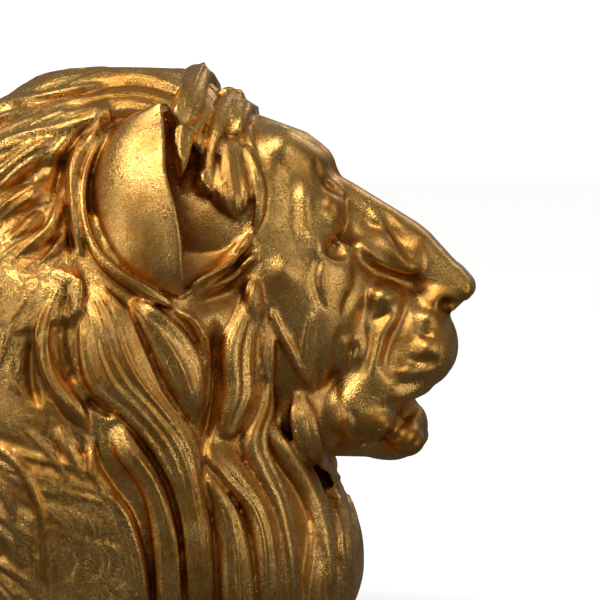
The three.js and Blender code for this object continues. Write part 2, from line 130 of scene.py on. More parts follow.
# The face: strokes raise or sink the sides of the masses in plainHead as the photograph shows
face = {
    "eye": (328, 216, 31),  # pixels, and mm out from the middle plane
    "eyeRadii": (10.5, 14, 14.5),
    "grooveDepth": 4,  # mm, in the middle of the lip and the forehead
    # A stroke's route in pixels, its widths in mm to either side of it as it runs, and its height in mm
    "strokes": [
        # Brow, eyelid and the columns behind them
        ([(313, 157), (318, 170), (324, 183), (331, 191), (339, 196), (343, 207)], (1.9, 2.6), -2.4),
        ([(319, 169), (325, 179), (332, 186), (338, 190)], (2.0, 2.0), 1.4),
        ([(323, 164), (331, 173), (338, 184)], (1.7, 1.7), -1.0),
        ([(320, 192), (314, 206), (311, 226), (315, 244)], (3.5, 4.0), -1.4),
        ([(303, 180), (306, 204), (310, 230), (317, 250), (321, 268)], (4.5, 4.5), 2.4),
        ([(276, 156), (290, 190), (294, 232), (303, 262), (316, 292)], (5.0, 6.0), -2.4),
        ([(327, 248), (335, 246), (343, 245)], (3.0, 2.2), -2.2),
        # Pouch below the eye
        ([(344, 246), (352, 256), (356, 271), (354, 288), (346, 303), (340, 320)], (3.2, 2.4), -3.2),
        ([(324, 250), (317, 266), (315, 284), (319, 300), (326, 312)], (2.0, 2.4), -2.0),
        ([(341, 318), (338, 350), (333, 374), (335, 406), (338, 434)], (4.0, 3.5), -2.2),
        # Flank of the nose
        ([(368, 204), (378, 222), (386, 238), (395, 254), (408, 267)], (2.4, 5.0), 2.6),
        ([(374, 197), (384, 217), (393, 235), (405, 253), (424, 268)], (4.0, 3.0), -2.6),
        ([(341, 237), (350, 241), (361, 247), (373, 259), (388, 267), (404, 271), (424, 274)],
         (3.6, 2.0), 2.0),
        ([(350, 254), (362, 262), (377, 272), (398, 279), (420, 283), (438, 285)], (3.0, 4.0), -2.4),
        # Muzzle
        ([(364, 282), (372, 291), (384, 296), (398, 297)], (4.0, 4.5), 2.6),
        ([(390, 308), (381, 316), (369, 320)], (2.4, 2.2), -2.0),
        ([(397, 298), (395, 312), (387, 324), (380, 334), (377, 347), (373, 360), (369, 380)],
         (2.8, 3.6), 2.6),
        ([(402, 300), (400, 318), (392, 334), (387, 348), (385, 364), (388, 384)], (4.0, 3.0), -2.4),
        ([(361, 322), (366, 338), (363, 358), (357, 372), (355, 384)], (3.0, 3.0), -1.4),
        ([(353, 333), (346, 342), (343, 355), (341, 366), (344, 380)], (2.6, 3.4), 2.4),
        ([(354, 334), (359, 345), (357, 354), (351, 364)], (2.4, 2.2), 1.8),
        ([(412, 330), (422, 333), (434, 337)], (2.4, 2.4), -2.4),
        ([(402, 358), (420, 361), (440, 358)], (2.8, 2.8), -2.2),
        ([(392, 371), (405, 371), (420, 369), (434, 364)], (3.0, 3.4), 2.6),
        ([(388, 384), (408, 381), (430, 376)], (3.0, 3.0), -1.6),
        ([(384, 396), (402, 394), (420, 389), (434, 382)], (3.0, 3.0), 2.0),
        # Mouth and chin
        ([(428, 397), (412, 410), (398, 421), (384, 434), (366, 445)], (2.8, 2.8), -1.2),
        ([(392, 419), (382, 428), (372, 437), (364, 444)], (1.8, 1.8), 1.6),
        ([(344, 408), (348, 422), (343, 438)], (2.2, 2.2), 2.0),
        ([(352, 406), (352, 424)], (1.8, 1.8), -1.6),
        ([(424, 420), (417, 436), (404, 450)], (2.0, 2.0), -1.2),
        # Nostril and nose
        ([(441, 296), (446, 309), (452, 316), (458, 314)], (2.2, 2.2), -3.2),
        ([(450, 260), (464, 279), (468, 291), (459, 304)], (2.2, 2.2), 1.4),
        # Cheek
        ([(300, 300), (312, 330), (314, 370), (306, 410)], (7.0, 7.0), -1.2),
    ],
    "bumps": [  # pixel, radii in mm, height in mm
        ((296, 177), (7, 9), -2.0), ((282, 150), (8, 7), 1.8), ((283, 272), (7, 7), 2.4),
        ((370, 236), (8, 7), -1.4), ((350, 348), (2.0, 4.5), -1.6), ((282, 225), (6, 9), -1.2),
        ((328, 206), (7, 8), 2.4), ((378, 301), (6.5, 5), 2.6), ((426, 317), (5, 4), 1.6),
        ((424, 348), (6, 5), 2.6), ((380, 416), (7, 4), 1.6),
        ((340, 445), (2, 2), -2.6), ((391, 448), (1.4, 1.8), -2.0), ((383, 452), (1.2, 1.5), -1.4),
        ((401, 432), (7, 7), 1.8), ((367, 202), (1.2, 1.2), -2.0),
    ],
    "start": 38,  # the bare face lies before this x and above this z, in mm
    "foot": 80,
    # Strokes fade between these distances in mm: off the masses, beside the hair, and by the middle plane
    "offSkin": (1.5, 3),
    "besideHair": (1, 5),
    "byMiddle": (6, 18),
    "breadth": 1.1,  # makes all the strokes wider
    "strength": 0.85,  # makes all the strokes and bumps higher or deeper
    "seen": (236, 500, 96, 484),  # the part of the photograph that shows it: left, right, top, bottom
    "step": 0.5,  # pixels
}


def unit(v):
    return np.array(v, float) / np.linalg.norm(v)


def stroked(x, y, route, widths, height):
    line = splinePoints(route, 26)
    best, side, along = np.full(x.shape, 1e9), np.zeros(x.shape), np.zeros(x.shape)
    for k, (a, b) in enumerate(zip(line[:-1], line[1:])):
        run = b - a
        t = np.clip(((x - a[0]) * run[0] + (y - a[1]) * run[1]) / (run @ run), 0, 1)
        away = np.hypot(x - a[0] - t * run[0], y - a[1] - t * run[1])
        nearer = away < best
        best = np.where(nearer, away, best)
        side = np.where(nearer, run[0] * (y - a[1]) - run[1] * (x - a[0]), side)
        along = np.where(nearer, (k + t) / (len(line) - 1), along)
    width = np.where(side < 0, widths[0], widths[1]) / picture["pixel"]
    length = np.linalg.norm(np.diff(line, axis=0), axis=1).sum()
    fade = np.clip(2.4 * max(widths) / picture["pixel"] / length, 0.25, 0.5)  # both ends run out softly
    swell = eased(along, 0, fade) * eased(1 - along, 0, fade)
    return height * swell * np.exp(-(best / (width * (0.45 + 0.55 * swell))) ** 2)


def reliefMap(look):
    # The heights of a dictionary's strokes and bumps, all over the part of the photograph that shows them
    left, right, top, bottom = look["seen"]
    step = look["step"]
    x, y = np.meshgrid(np.arange(left, right, step), np.arange(top, bottom, step))
    relief = np.zeros(x.shape)
    for route, widths, height in look["strokes"]:
        widths, height = np.array(widths) * look["breadth"], height * look["strength"]
        margin = 2.6 * max(widths) / picture["pixel"]
        low, high = np.min(route, axis=0) - margin, np.max(route, axis=0) + margin
        columns = slice(max(0, int((low[0] - left) / step)), max(0, int((high[0] - left) / step)))
        lines = slice(max(0, int((low[1] - top) / step)), max(0, int((high[1] - top) / step)))
        relief[lines, columns] += stroked(x[lines, columns], y[lines, columns], route, widths, height)
    for (atX, atY), radii, height in look["bumps"]:
        height = height * look["strength"]
        q = ((x - atX) * picture["pixel"] / radii[0]) ** 2 + ((y - atY) * picture["pixel"] / radii[1]) ** 2
        relief += height * np.exp(-q)
    return relief


def reliefAt(p, look):
    # The strokes' height at the place where the photograph shows a point, the same on both sides
    out = np.abs(p[..., 1])
    u = p[..., 0] * math.cos(sight["turn"]) - out * math.sin(sight["turn"])
    v = p[..., 2] * math.cos(sight["drop"]) - out * math.sin(sight["drop"])
    left, _, top, _ = look["seen"]
    relief = look["relief"]
    x = np.clip((u / picture["pixel"] + picture["middle"] - left) / look["step"], 0, relief.shape[1] - 1.01)
    y = np.clip((picture["foot"] - v / picture["pixel"] - top) / look["step"], 0, relief.shape[0] - 1.01)
    i, j = y.astype(int), x.astype(int)
    s, t = y - i, x - j
    return (
        relief[i, j] * (1 - s) * (1 - t) + relief[i + 1, j] * s * (1 - t)
        + relief[i, j + 1] * (1 - s) * t + relief[i + 1, j + 1] * s * t
    )


face["relief"] = reliefMap(face)


def plainHead(points):
    p = points.copy()
    p[..., 1] = np.sqrt(p[..., 1] ** 2 + 0.5)
    f = ball(p, (8, 0, 240), (80, 66, 70))
    f = joined(f, ball(p, (34, 18, 284), (26, 24, 30)), 16)  # forehead
    f = joined(f, ball(p, (46, 30, 272), (32, 24, 30)), 12)  # temples
    f = joined(f, ball(p, (52, 38, 205), (46, 28, 62)), 18)  # cheeks
    f = joined(f, ball(p, (94, 0, 205), (40, 34, 42)), 18)  # snout
    f = joined(f, limb(p, (80, 36, 222), (44, 49, 214), 9, 8), 22)  # cheekbone
    f = joined(f, bar(p, (60, 274.8), (131, 231.5), 16, 19, 16, 12), 8)  # bridge of the nose
    f = joined(f, limb(p, seenAt(344, 233, 18), seenAt(371, 251, 21), 7, 8), 9)  # flanks of the nose
    f = joined(f, limb(p, seenAt(371, 251, 21), seenAt(407, 263, 21), 8, 8), 9)
    f = joined(f, limb(p, seenAt(282, 152, 36), seenAt(308, 166, 24), 11, 10.5), 10)  # brows
    f = joined(f, limb(p, seenAt(308, 166, 18), seenAt(335, 196, 24), 10, 6.5), 5)
    f = joined(f, ball(p, (121, 16, 180), (32, 21, 29)), 10)
    f = joined(f, limb(p, seenAt(384, 300, 31), seenAt(372, 376, 34), 9.5, 10.5), 6)  # upper lips
    f = joined(f, ball(p, seenAt(354, 350, 29), (12, 13, 23)), 9)
    f = joined(f, ball(p, seenAt(427, 352, 22), (15, 17, 19)), 5)  # whisker pads
    f = joined(f, ball(p, seenAt(427, 319, 22), (8, 10, 6)), 4)
    f = joined(f, limb(p, (122, 22, 164), (92, 30, 142), 18.5, 19.5), 7)  # hanging lips
    f = joined(f, ball(p, seenAt(370, 420, 32), (14, 14, 11)), 5)
    f = joined(f, limb(p, (106, 4, 131), (60, 22, 142), 21, 30), 4)  # lower jaw
    f = joined(f, ball(p, (115, 0, 129), (22, 24, 21)), 4)  # chin
    f = joined(f, ball(p, seenAt(404, 438, 18), (12, 12, 10.5)), 3)
    mouth = [seenAt(424, 398, 4), seenAt(408, 411, 19), seenAt(390, 427, 26), seenAt(366, 442, 26)]
    f = carved(f, nearRoute(p, mouth) - 4.0, 2.5)
    f = joined(f, bar(p, (124, 240), (157.5, 203), 18, 25, 13, 8), 6)  # nose
    f = joined(f, ball(p, (143, 17, 204), (12, 10, 9)), 4)  # nostril wings
    f = carved(f, limb(p, (161, 10, 203), (148, 24, 203), 3.0, 4.0), 2.5)  # nostrils
    f = carved(f, ball(p, (90, 33, 250), (9, 10, 10)), 7)  # eye sockets
    f = joined(f, ball(p, seenAt(*face["eye"]), face["eyeRadii"]), 3)
    f = joined(f, ball(p, seenAt(336, 280, 38), (9.5, 9.5, 13.5)), 3)  # pouch below the eye
    f = carved(f, ball(p, seenAt(337, 250, 50), (9, 9, 7)), 5)
    lipGroove = [(160, 0, 200), (154, 0, 178), (150, 0, 160), (134, 0, 143)]
    foreheadGroove = [(80, 0, 284), (66, 0, 296), (40, 0, 312)]
    for route, width in ((lipGroove, 2.6), (foreheadGroove, 6)):
        f = f + face["grooveDepth"] * np.exp(-(nearRoute(p, route) / width) ** 2)
    return f


def faceHeight(p):
    return reliefAt(p, face) * eased(np.abs(p[..., 1]), *face["byMiddle"])


def headField(p):
    return plainHead(p) - faceHeight(p)


# The mane's body: at each height its front and back ends and its half width
mane = {
    "rows": [
        (-12, 76, -122, 86), (24, 87, -138, 96), (60, 89, -150, 104), (92, 76, -158, 109),
        (120, 64, -163, 112), (160, 58, -167, 113), (200, 56, -168, 110), (232, 54, -167, 102),
        (258, 50, -163, 92), (284, 42, -154, 79), (308, 30, -137, 64), (326, 14, -112, 48),
        (340, -10, -78, 28),
    ],
    "squareness": 2.25,
    "inset": 4.0,  # mm that the body lies below the solid's, which the leaves of hair make up
    "fill": 0.96,  # how much of the way between its routes a leaf takes up
    "ridgeShare": 0.38,  # of a leaf's rise
    "strandPitch": 4.2,  # mm
    "strandRelief": 1.5,  # mm
    "sink": 6.0,  # mm that a leaf's underside lies below the skin
    "rootSink": 4.0,  # mm more at its root
    "crownPower": 0.95,  # of a leaf's section, where less is flatter
    "backTiers": [  # top and bottom in mm, count and reach sideways in mm
        (336, 236, 6, 120), (292, 176, 7, 176), (230, 112, 8, 196), (168, 48, 8, 200), (104, -4, 8, 196),
    ],
    "crownLeaves": 7,
    "chestLeaves": 6,
    "seed": 11,
}
rows = np.array(mane["rows"], float)


def maneRow(z):
    # Front, back and half width at a height, by a smooth curve through the rows
    z = np.clip(z, rows[0, 0], rows[-1, 0])
    i = np.clip(np.searchsorted(rows[:, 0], z) - 1, 0, len(rows) - 2)
    before, after = np.maximum(i - 1, 0), np.minimum(i + 2, len(rows) - 1)
    step = rows[i + 1, 0] - rows[i, 0]
    t = (z - rows[i, 0]) / step
    found = []
    for k in (1, 2, 3):
        leave = (rows[i + 1, k] - rows[before, k]) / (rows[i + 1, 0] - rows[before, 0]) * step
        arrive = (rows[after, k] - rows[i, k]) / (rows[after, 0] - rows[i, 0]) * step
        found.append(
            (2 * t**3 - 3 * t**2 + 1) * rows[i, k] + (t**3 - 2 * t**2 + t) * leave
            + (3 * t**2 - 2 * t**3) * rows[i + 1, k] + (t**3 - t**2) * arrive
        )
    return found


def maneField(p):
    x, y, z = p[..., 0], p[..., 1], p[..., 2]
    front, back, half = maneRow(z)
    middle, length, n = (front + back) / 2, (front - back) / 2, mane["squareness"]
    rounded = (np.abs((x - middle) / length) ** n + np.abs(y / half) ** n) ** (1 / n)
    return np.maximum((rounded - 1) * np.minimum(length, half), z - rows[-1, 0]) + mane["inset"]


def skin(p):
    return np.minimum(headField(p), maneField(p))


def slope(p, field=skin, reach=2.0):
    # Which way the field grows fastest, and how fast
    found = []
    for axis in range(3):
        step = np.zeros(3)
        step[axis] = reach
        found.append((field(p + step) - field(p - step)) / (2 * reach))
    n = np.stack(found, -1)
    steepness = np.linalg.norm(n, axis=-1, keepdims=True) + 1e-9
    return n / steepness, steepness


# Each view looks at the bust from one side: where a point of the picture lies, and which way is in
viewReach = 240


def sideView(side):
    flat = math.cos(sight["turn"]) * math.cos(sight["drop"])
    inward = unit((-math.sin(sight["turn"]), -side * flat, -math.sin(sight["drop"])))
    return (lambda u, v: np.stack([u, 0 * u, v], -1) - viewReach * inward), inward


views = {
    "right": sideView(-1),
    "left": sideView(1),
    "back": ((lambda u, v: np.stack([0 * u - viewReach, u, v], -1)), np.array([1.0, 0, 0])),
    "front": ((lambda u, v: np.stack([0 * u + viewReach, u, v], -1)), np.array([-1.0, 0, 0])),
    "top": ((lambda u, v: np.stack([u, v, 0 * u + 200 + viewReach], -1)), np.array([0, 0, -1.0])),
}


def laidOn(starts, ways):
    # Points move along their ways until they meet the skin.
    # One that passes it by goes back to where it was nearest.
    p, best = starts.copy(), starts.copy()
    least = np.full(len(p), 1e9)
    going = np.arange(len(p))
    for _ in range(110):
        gap = skin(p[going])
        closer = gap < least[going]
        best[going[closer]] = p[going[closer]]
        least[going[closer]] = gap[closer]
        going, gap = going[gap > 0.1], gap[gap > 0.1]
        if len(going) == 0:
            break
        p[going] += ways[going] * np.maximum(gap * 0.8, 0.3)[:, None]
    missed = np.nonzero(least > 0.5)[0]
    for _ in range(4):
        best[missed] -= slope(best[missed])[0] * skin(best[missed])[:, None]
    return best


# Leaves of hair on one side. A leaf lies between two routes, given in the photograph's pixels.
sideHair = [
    # From the crown back and down over the left of the picture
    dict(first=[(186, 62), (120, 62), (60, 76), (0, 98), (-70, 150)],
         last=[(150, 82), (90, 90), (40, 100), (-10, 115), (-70, 170)], ridges=5, rise=8),
    dict(first=[(150, 84), (100, 92), (50, 100), (0, 112), (-70, 166)],
         last=[(120, 96), (80, 102), (40, 112), (0, 122), (-70, 184)], ridges=3, rise=9),
    dict(first=[(124, 98), (78, 104), (40, 114), (0, 124), (-66, 184)],
         last=[(116, 106), (76, 110), (34, 122), (0, 131), (-60, 194)], ridges=2, rise=9),
    dict(first=[(116, 106), (85, 110), (58, 118), (20, 132), (0, 142), (-60, 200)],
         last=[(104, 118), (84, 127), (58, 134), (38, 145), (18, 158), (-2, 172), (-50, 224)],
         ridges=4, rise=10),
    dict(first=[(100, 126), (80, 133), (60, 135), (42, 144), (22, 160), (0, 178), (-50, 232)],
         last=[(72, 150), (58, 156), (50, 168), (30, 185), (10, 205), (-10, 224), (-50, 262)],
         ridges=3, rise=12),
    dict(first=[(66, 166), (47, 186), (30, 197), (12, 212), (-8, 232), (-50, 272)],
         last=[(62, 192), (43, 211), (24, 223), (8, 240), (-10, 262), (-40, 300)], ridges=2, rise=10),
    dict(first=[(60, 200), (36, 220), (20, 235), (6, 251), (-14, 274), (-40, 308)],
         last=[(60, 222), (40, 240), (25, 252), (10, 268), (-8, 290), (-36, 330)], ridges=1, rise=8),
    dict(first=[(72, 182), (63, 203), (58, 224), (46, 237), (26, 250), (6, 268), (-16, 296), (-50, 340)],
         last=[(76, 190), (71, 213), (65, 236), (53, 252), (35, 270), (15, 292), (-6, 318), (-36, 356)],
         ridges=3, rise=12),
    dict(first=[(75, 212), (70, 236), (57, 256), (40, 273), (22, 293), (4, 317), (-14, 350)],
         last=[(78, 234), (75, 250), (64, 265), (48, 281), (30, 299), (14, 318), (2, 342), (-4, 368)],
         ridges=3, rise=10),
    dict(first=[(77, 240), (70, 258), (56, 274), (38, 291), (20, 310), (8, 330), (2, 350), (0, 372)],
         last=[(79, 262), (66, 277), (46, 296), (28, 312), (14, 330), (7, 350), (6, 372), (10, 388)],
         ridges=3, rise=10),
    # Beside the ear, and the thin border along its leaf
    dict(first=[(120, 108), (98, 122), (80, 146), (72, 172), (73, 200), (75, 226), (79, 258)],
         last=[(128, 116), (108, 138), (94, 162), (86, 188), (86, 216), (90, 242), (98, 262)],
         ridges=3, rise=11),
    dict(first=[(127, 119), (106, 142), (92, 168), (86, 200), (90, 236), (102, 263), (122, 283), (150, 301),
                (177, 317)],
         last=[(131, 120), (112, 146), (98, 170), (93, 200), (97, 231), (109, 257), (129, 275), (152, 287),
               (181, 300)], ridges=2, rise=9, lift=4),
    # Curls left of the great fan
    dict(first=[(64, 280), (38, 302), (17, 324), (5, 345), (2, 366), (8, 386), (20, 401), (36, 416),
                (52, 432)],
         last=[(68, 286), (45, 309), (25, 327), (14, 346), (11, 366), (17, 385), (29, 399), (43, 412),
               (58, 428)], ridges=2, rise=11),
    dict(first=[(54, 306), (31, 322), (17, 338), (12, 356), (14, 374), (26, 393), (42, 408)],
         last=[(55, 312), (43, 330), (35, 345), (31, 362), (32, 380), (40, 395), (52, 408)],
         ridges=2, rise=9),
    dict(first=[(73, 266), (62, 292), (50, 316), (45, 338), (48, 360), (54, 380), (66, 400), (80, 418),
                (94, 431)],
         last=[(77, 268), (74, 296), (67, 320), (65, 345), (69, 366), (80, 384), (92, 400), (99, 418),
               (100, 433)], ridges=4, rise=11, lift=2),
    dict(first=[(32, 400), (48, 416), (64, 436), (76, 456), (88, 480), (100, 504), (112, 540), (118, 640)],
         last=[(54, 394), (68, 411), (83, 431), (91, 452), (99, 474), (111, 497), (123, 525), (131, 564),
               (135, 640)], ridges=4, rise=9),
    # The great fan below the ear
    dict(first=[(78, 262), (83, 297), (84, 330), (86, 362), (96, 390), (120, 406), (147, 436), (166, 466),
                (180, 500), (188, 560), (190, 640)],
         last=[(80, 262), (112, 286), (136, 308), (151, 342), (168, 382), (186, 410), (199, 430),
               (205, 455), (208, 480), (214, 520), (218, 580), (220, 640)], ridges=7, rise=11),
    dict(first=[(128, 291), (142, 321), (153, 346), (168, 382), (184, 407), (199, 426)],
         last=[(132, 288), (160, 307), (184, 326), (199, 346), (206, 367), (205, 398), (201, 424)],
         ridges=4, rise=12),
    dict(first=[(166, 304), (188, 320), (202, 342), (207, 366), (207, 396), (203, 430)],
         last=[(176, 302), (198, 316), (209, 336), (213, 362), (212, 392), (206, 432)], ridges=1, rise=10),
    # Below it
    dict(first=[(95, 424), (91, 446), (96, 470), (110, 500), (122, 532), (130, 570), (134, 640)],
         last=[(105, 404), (103, 430), (107, 456), (120, 480), (138, 504), (150, 540), (156, 580),
               (158, 640)], ridges=2, rise=11),
    dict(first=[(106, 408), (114, 432), (124, 454), (142, 478), (152, 506), (158, 560), (160, 640)],
         last=[(112, 404), (132, 420), (148, 442), (162, 464), (174, 494), (184, 540), (188, 600),
               (190, 640)], ridges=3, rise=9),
    # Lower left arcs
    dict(first=[(-60, 350), (-20, 373), (0, 387), (20, 403), (37, 417), (57, 438), (73, 458), (85, 479),
                (98, 502), (108, 540), (114, 640)],
         last=[(-60, 366), (-20, 386), (0, 398), (18, 412), (32, 424), (50, 444), (66, 464), (78, 485),
               (89, 506), (98, 544), (104, 640)], ridges=2, rise=12),
    dict(first=[(-80, 374), (-20, 393), (6, 408), (28, 424), (46, 442), (62, 466), (74, 490), (84, 520),
                (90, 640)],
         last=[(-80, 398), (-20, 406), (4, 418), (22, 430), (38, 446), (54, 470), (64, 494), (70, 524),
               (74, 640)], ridges=2, rise=8),
    dict(first=[(-80, 408), (-20, 417), (2, 429), (22, 439), (38, 453), (51, 475), (60, 500), (64, 540),
                (66, 640)],
         last=[(-80, 438), (-20, 436), (0, 443), (16, 453), (30, 467), (40, 489), (46, 513), (48, 551),
               (48, 640)], ridges=2, rise=12),
    dict(first=[(-90, 444), (-20, 441), (0, 448), (15, 457), (27, 471), (36, 493), (41, 517), (42, 560),
                (42, 640)],
         last=[(-90, 470), (-30, 462), (-10, 465), (4, 477), (14, 495), (22, 520), (25, 560), (26, 640)],
         ridges=2, rise=9),
    dict(first=[(-90, 474), (-34, 466), (-12, 470), (2, 484), (12, 505), (18, 540), (20, 640)],
         last=[(-90, 506), (-50, 490), (-26, 496), (-10, 516), (-2, 545), (0, 640)], ridges=2, rise=9),
    dict(first=[(-90, 510), (-52, 500), (-28, 512), (-14, 540), (-8, 590), (-6, 640)],
         last=[(-100, 560), (-70, 556), (-50, 570), (-44, 600), (-42, 640)], ridges=3, rise=9),
    # Between the great fan and the face
    dict(first=[(256, 262), (246, 285), (236, 310), (224, 335), (221, 360), (223, 385), (219, 410),
                (212, 432)],
         last=[(259, 262), (264, 290), (266, 322), (264, 360), (259, 390), (249, 420), (240, 442)],
         ridges=3, rise=10, strands=2),
    dict(first=[(255, 280), (260, 320), (259, 364), (250, 406), (240, 440), (257, 480), (269, 506),
                (279, 560), (283, 640)],
         last=[(270, 290), (277, 334), (276, 380), (268, 412), (262, 440), (278, 476), (290, 506),
               (298, 560), (302, 640)], ridges=2, rise=10),
    dict(first=[(216, 420), (205, 450), (218, 475), (240, 500), (250, 532), (254, 580), (256, 640)],
         last=[(242, 424), (243, 452), (258, 480), (270, 504), (280, 540), (286, 590), (288, 640)],
         ridges=3, rise=10),
    dict(first=[(206, 440), (204, 470), (212, 500), (220, 540), (222, 640)],
         last=[(212, 446), (222, 478), (242, 510), (254, 560), (258, 640)], ridges=3, rise=9),
    dict(first=[(268, 400), (264, 432), (275, 458), (294, 486), (306, 516), (312, 560), (314, 640)],
         last=[(284, 396), (284, 426), (293, 452), (307, 480), (317, 510), (324, 560), (326, 640)],
         ridges=2, rise=10, lift=3),
    dict(first=[(288, 388), (290, 420), (300, 448), (312, 476), (321, 506), (328, 560), (330, 640)],
         last=[(308, 384), (316, 420), (325, 448), (332, 472), (339, 502), (346, 560), (348, 640)],
         ridges=3, rise=9, lift=5),
    dict(first=[(264, 298), (275, 330), (291, 362), (305, 390)],
         last=[(270, 296), (284, 328), (301, 358), (314, 386)], ridges=2, rise=5),
    dict(first=[(309, 300), (302, 330), (299, 354), (303, 390)],
         last=[(315, 302), (309, 330), (308, 354), (312, 386)], ridges=1, rise=4),
    # Before and over the hollow of the ear
    dict(first=[(186, 66), (184, 84), (178, 100), (172, 114), (169, 127), (173, 140)],
         last=[(206, 68), (205, 84), (203, 100), (201, 114), (198, 127), (190, 138)],
         ridges=4, rise=8, lift=6),
    dict(first=[(207, 104), (200, 122), (195, 136), (191, 147), (188, 157)],
         last=[(213, 108), (206, 126), (199, 141), (193, 151), (190, 160)], ridges=1, rise=6, lift=4),
    dict(first=[(171, 128), (172, 148), (176, 165), (183, 182)],
         last=[(196, 132), (193, 150), (190, 165), (185, 183)], ridges=2, rise=7, lift=3),
    dict(first=[(222, 76), (222, 92), (213, 108), (207, 126), (204, 145), (202, 165), (203, 180),
                (208, 197)],
         last=[(251, 80), (249, 101), (232, 120), (221, 141), (213, 157), (211, 170), (211, 184),
               (210, 197)], ridges=3, rise=9, lift=5),
    dict(first=[(200, 174), (199, 184), (202, 192), (209, 199)],
         last=[(206, 174), (205, 184), (207, 191), (212, 197)], ridges=1, rise=5, lift=4),
    dict(first=[(234, 80), (232, 104), (227, 120), (223, 134), (222, 147)],
         last=[(249, 84), (250, 104), (253, 121), (247, 138), (239, 151)], ridges=3, rise=7, lift=5),
    dict(first=[(216, 96), (208, 122), (205, 148), (207, 172), (213, 194), (225, 212), (238, 222)],
         last=[(248, 92), (251, 122), (258, 150), (263, 180), (263, 204), (256, 220), (242, 228)],
         ridges=1, rise=3, lift=0),
    dict(first=[(221, 134), (214, 157), (210, 178), (211, 196), (220, 211), (236, 223)],
         last=[(236, 136), (246, 163), (252, 184), (253, 200), (248, 214), (240, 224)],
         ridges=4, rise=9, lift=3),
    dict(first=[(231, 142), (240, 151), (246, 164), (251, 184), (255, 204), (254, 222), (252, 237)],
         last=[(239, 138), (250, 152), (260, 168), (266, 186), (267, 202), (264, 220), (257, 238)],
         ridges=2, rise=7, lift=2),
    dict(first=[(254, 226), (246, 242), (234, 254), (217, 268), (190, 286)],
         last=[(258, 234), (251, 248), (239, 261), (222, 274), (194, 291)], ridges=1, rise=8, lift=2),
    dict(first=[(262, 246), (252, 256), (238, 268), (221, 281), (204, 292)],
         last=[(266, 251), (257, 262), (244, 274), (227, 287), (210, 298)], ridges=1, rise=8, lift=0),
]
# Hollows and creases between the leaves of hair
hollows = {
    "strokes": [
        ([(46, 332), (41, 352), (40, 372), (43, 390), (52, 408)], (3.8, 3.2), -4.5),
        ([(78, 280), (74, 305), (72, 335), (75, 360), (86, 386)], (4.2, 3.6), -5),
        ([(104, 126), (83, 145), (69, 165), (64, 186), (60, 212)], (3.2, 3.2), -6),
        ([(73, 186), (75, 212), (77, 240), (79, 266)], (1.6, 1.6), -4),
        ([(246, 286), (226, 296), (206, 302), (186, 308)], (6.5, 6.0), -6),
        ([(220, 312), (216, 352), (213, 392), (209, 424), (203, 456)], (4.2, 3.6), -7),
        ([(92, 392), (106, 405), (124, 414)], (2.2, 2.2), -3.5),
        ([(101, 424), (104, 452), (110, 474), (128, 500)], (2.0, 2.0), -3.5),
    ],
    "bumps": [],
    "breadth": 1.0,
    "strength": 1.0,
    "seen": (-20, 262, 96, 520),
    "step": 1.0,
}
hollows["relief"] = reliefMap(hollows)


def fromPicture(route):
    x, y = np.array(route, float).T
    return np.stack([x - picture["middle"], picture["foot"] - y], 1) * picture["pixel"]


def smoothedAlong(values, reach):
    # values: lines, points along each, xyz
    padded = np.pad(values, ((0, 0), (reach, reach), (0, 0)), mode="edge")
    run = np.cumsum(np.pad(padded, ((0, 0), (1, 0), (0, 0))), axis=1)
    return (run[:, 2 * reach + 1:] - run[:, :-2 * reach - 1]) / (2 * reach + 1)


samples = {"along": 64, "around": 96, "across": 7}  # points on each leaf, and lines laid on the skin for it


def laidLeaves(leaves):
    # Lines from each leaf's first route to its last, laid on the skin, and the way out of the skin along them
    count, across = samples["along"] + 1, samples["across"]
    starts, ways = [], []
    for leaf in leaves:
        place, inward = views[leaf["view"]]
        first, last = splinePoints(leaf["first"], count), splinePoints(leaf["last"], count)
        for share in np.linspace(0, 1, across):
            flat = first * (1 - share) + last * share
            starts.append(place(flat[:, 0], flat[:, 1]))
            ways.append(np.broadcast_to(inward, (count, 3)))
    lines = laidOn(np.concatenate(starts), np.concatenate(ways))
    ups = slope(lines)[0]
    lines = smoothedAlong(lines.reshape(-1, count, 3), 2)
    ups = smoothedAlong(ups.reshape(-1, count, 3), 4)
    return lines.reshape(-1, across, count, 3), ups.reshape(-1, across, count, 3)


def crossed(lines, w):
    # Values between the lines, at each share w of the way across
    at = np.clip(w, 0, 1) * (len(lines) - 1)
    i = np.minimum(at.astype(int), len(lines) - 2)
    t = (at - i)[..., None]
    along = np.arange(lines.shape[1])[:, None]
    return lines[i, along] * (1 - t) + lines[i + 1, along] * t


def ridged(places, t, count, low, chance):
    # Round ridges of chance widths with sharp valleys between them, that swell and fade along the leaf
    edges = np.concatenate([[0], np.cumsum(chance.uniform(0.45, 1.5, count))])
    at = np.interp(places, edges / edges[-1], np.arange(count + 1))
    which = np.clip(np.floor(at).astype(int), 0, count - 1)
    heights = chance.uniform(low, 1.1, count)
    swells, starts = chance.uniform(0.5, 1.6, count), chance.uniform(0, 1, count)
    fading = 0.7 + 0.3 * np.sin(2 * math.pi * (swells[which] * t + starts[which]))
    return np.abs(np.sin(math.pi * at)) ** 0.7 * heights[which] * fading


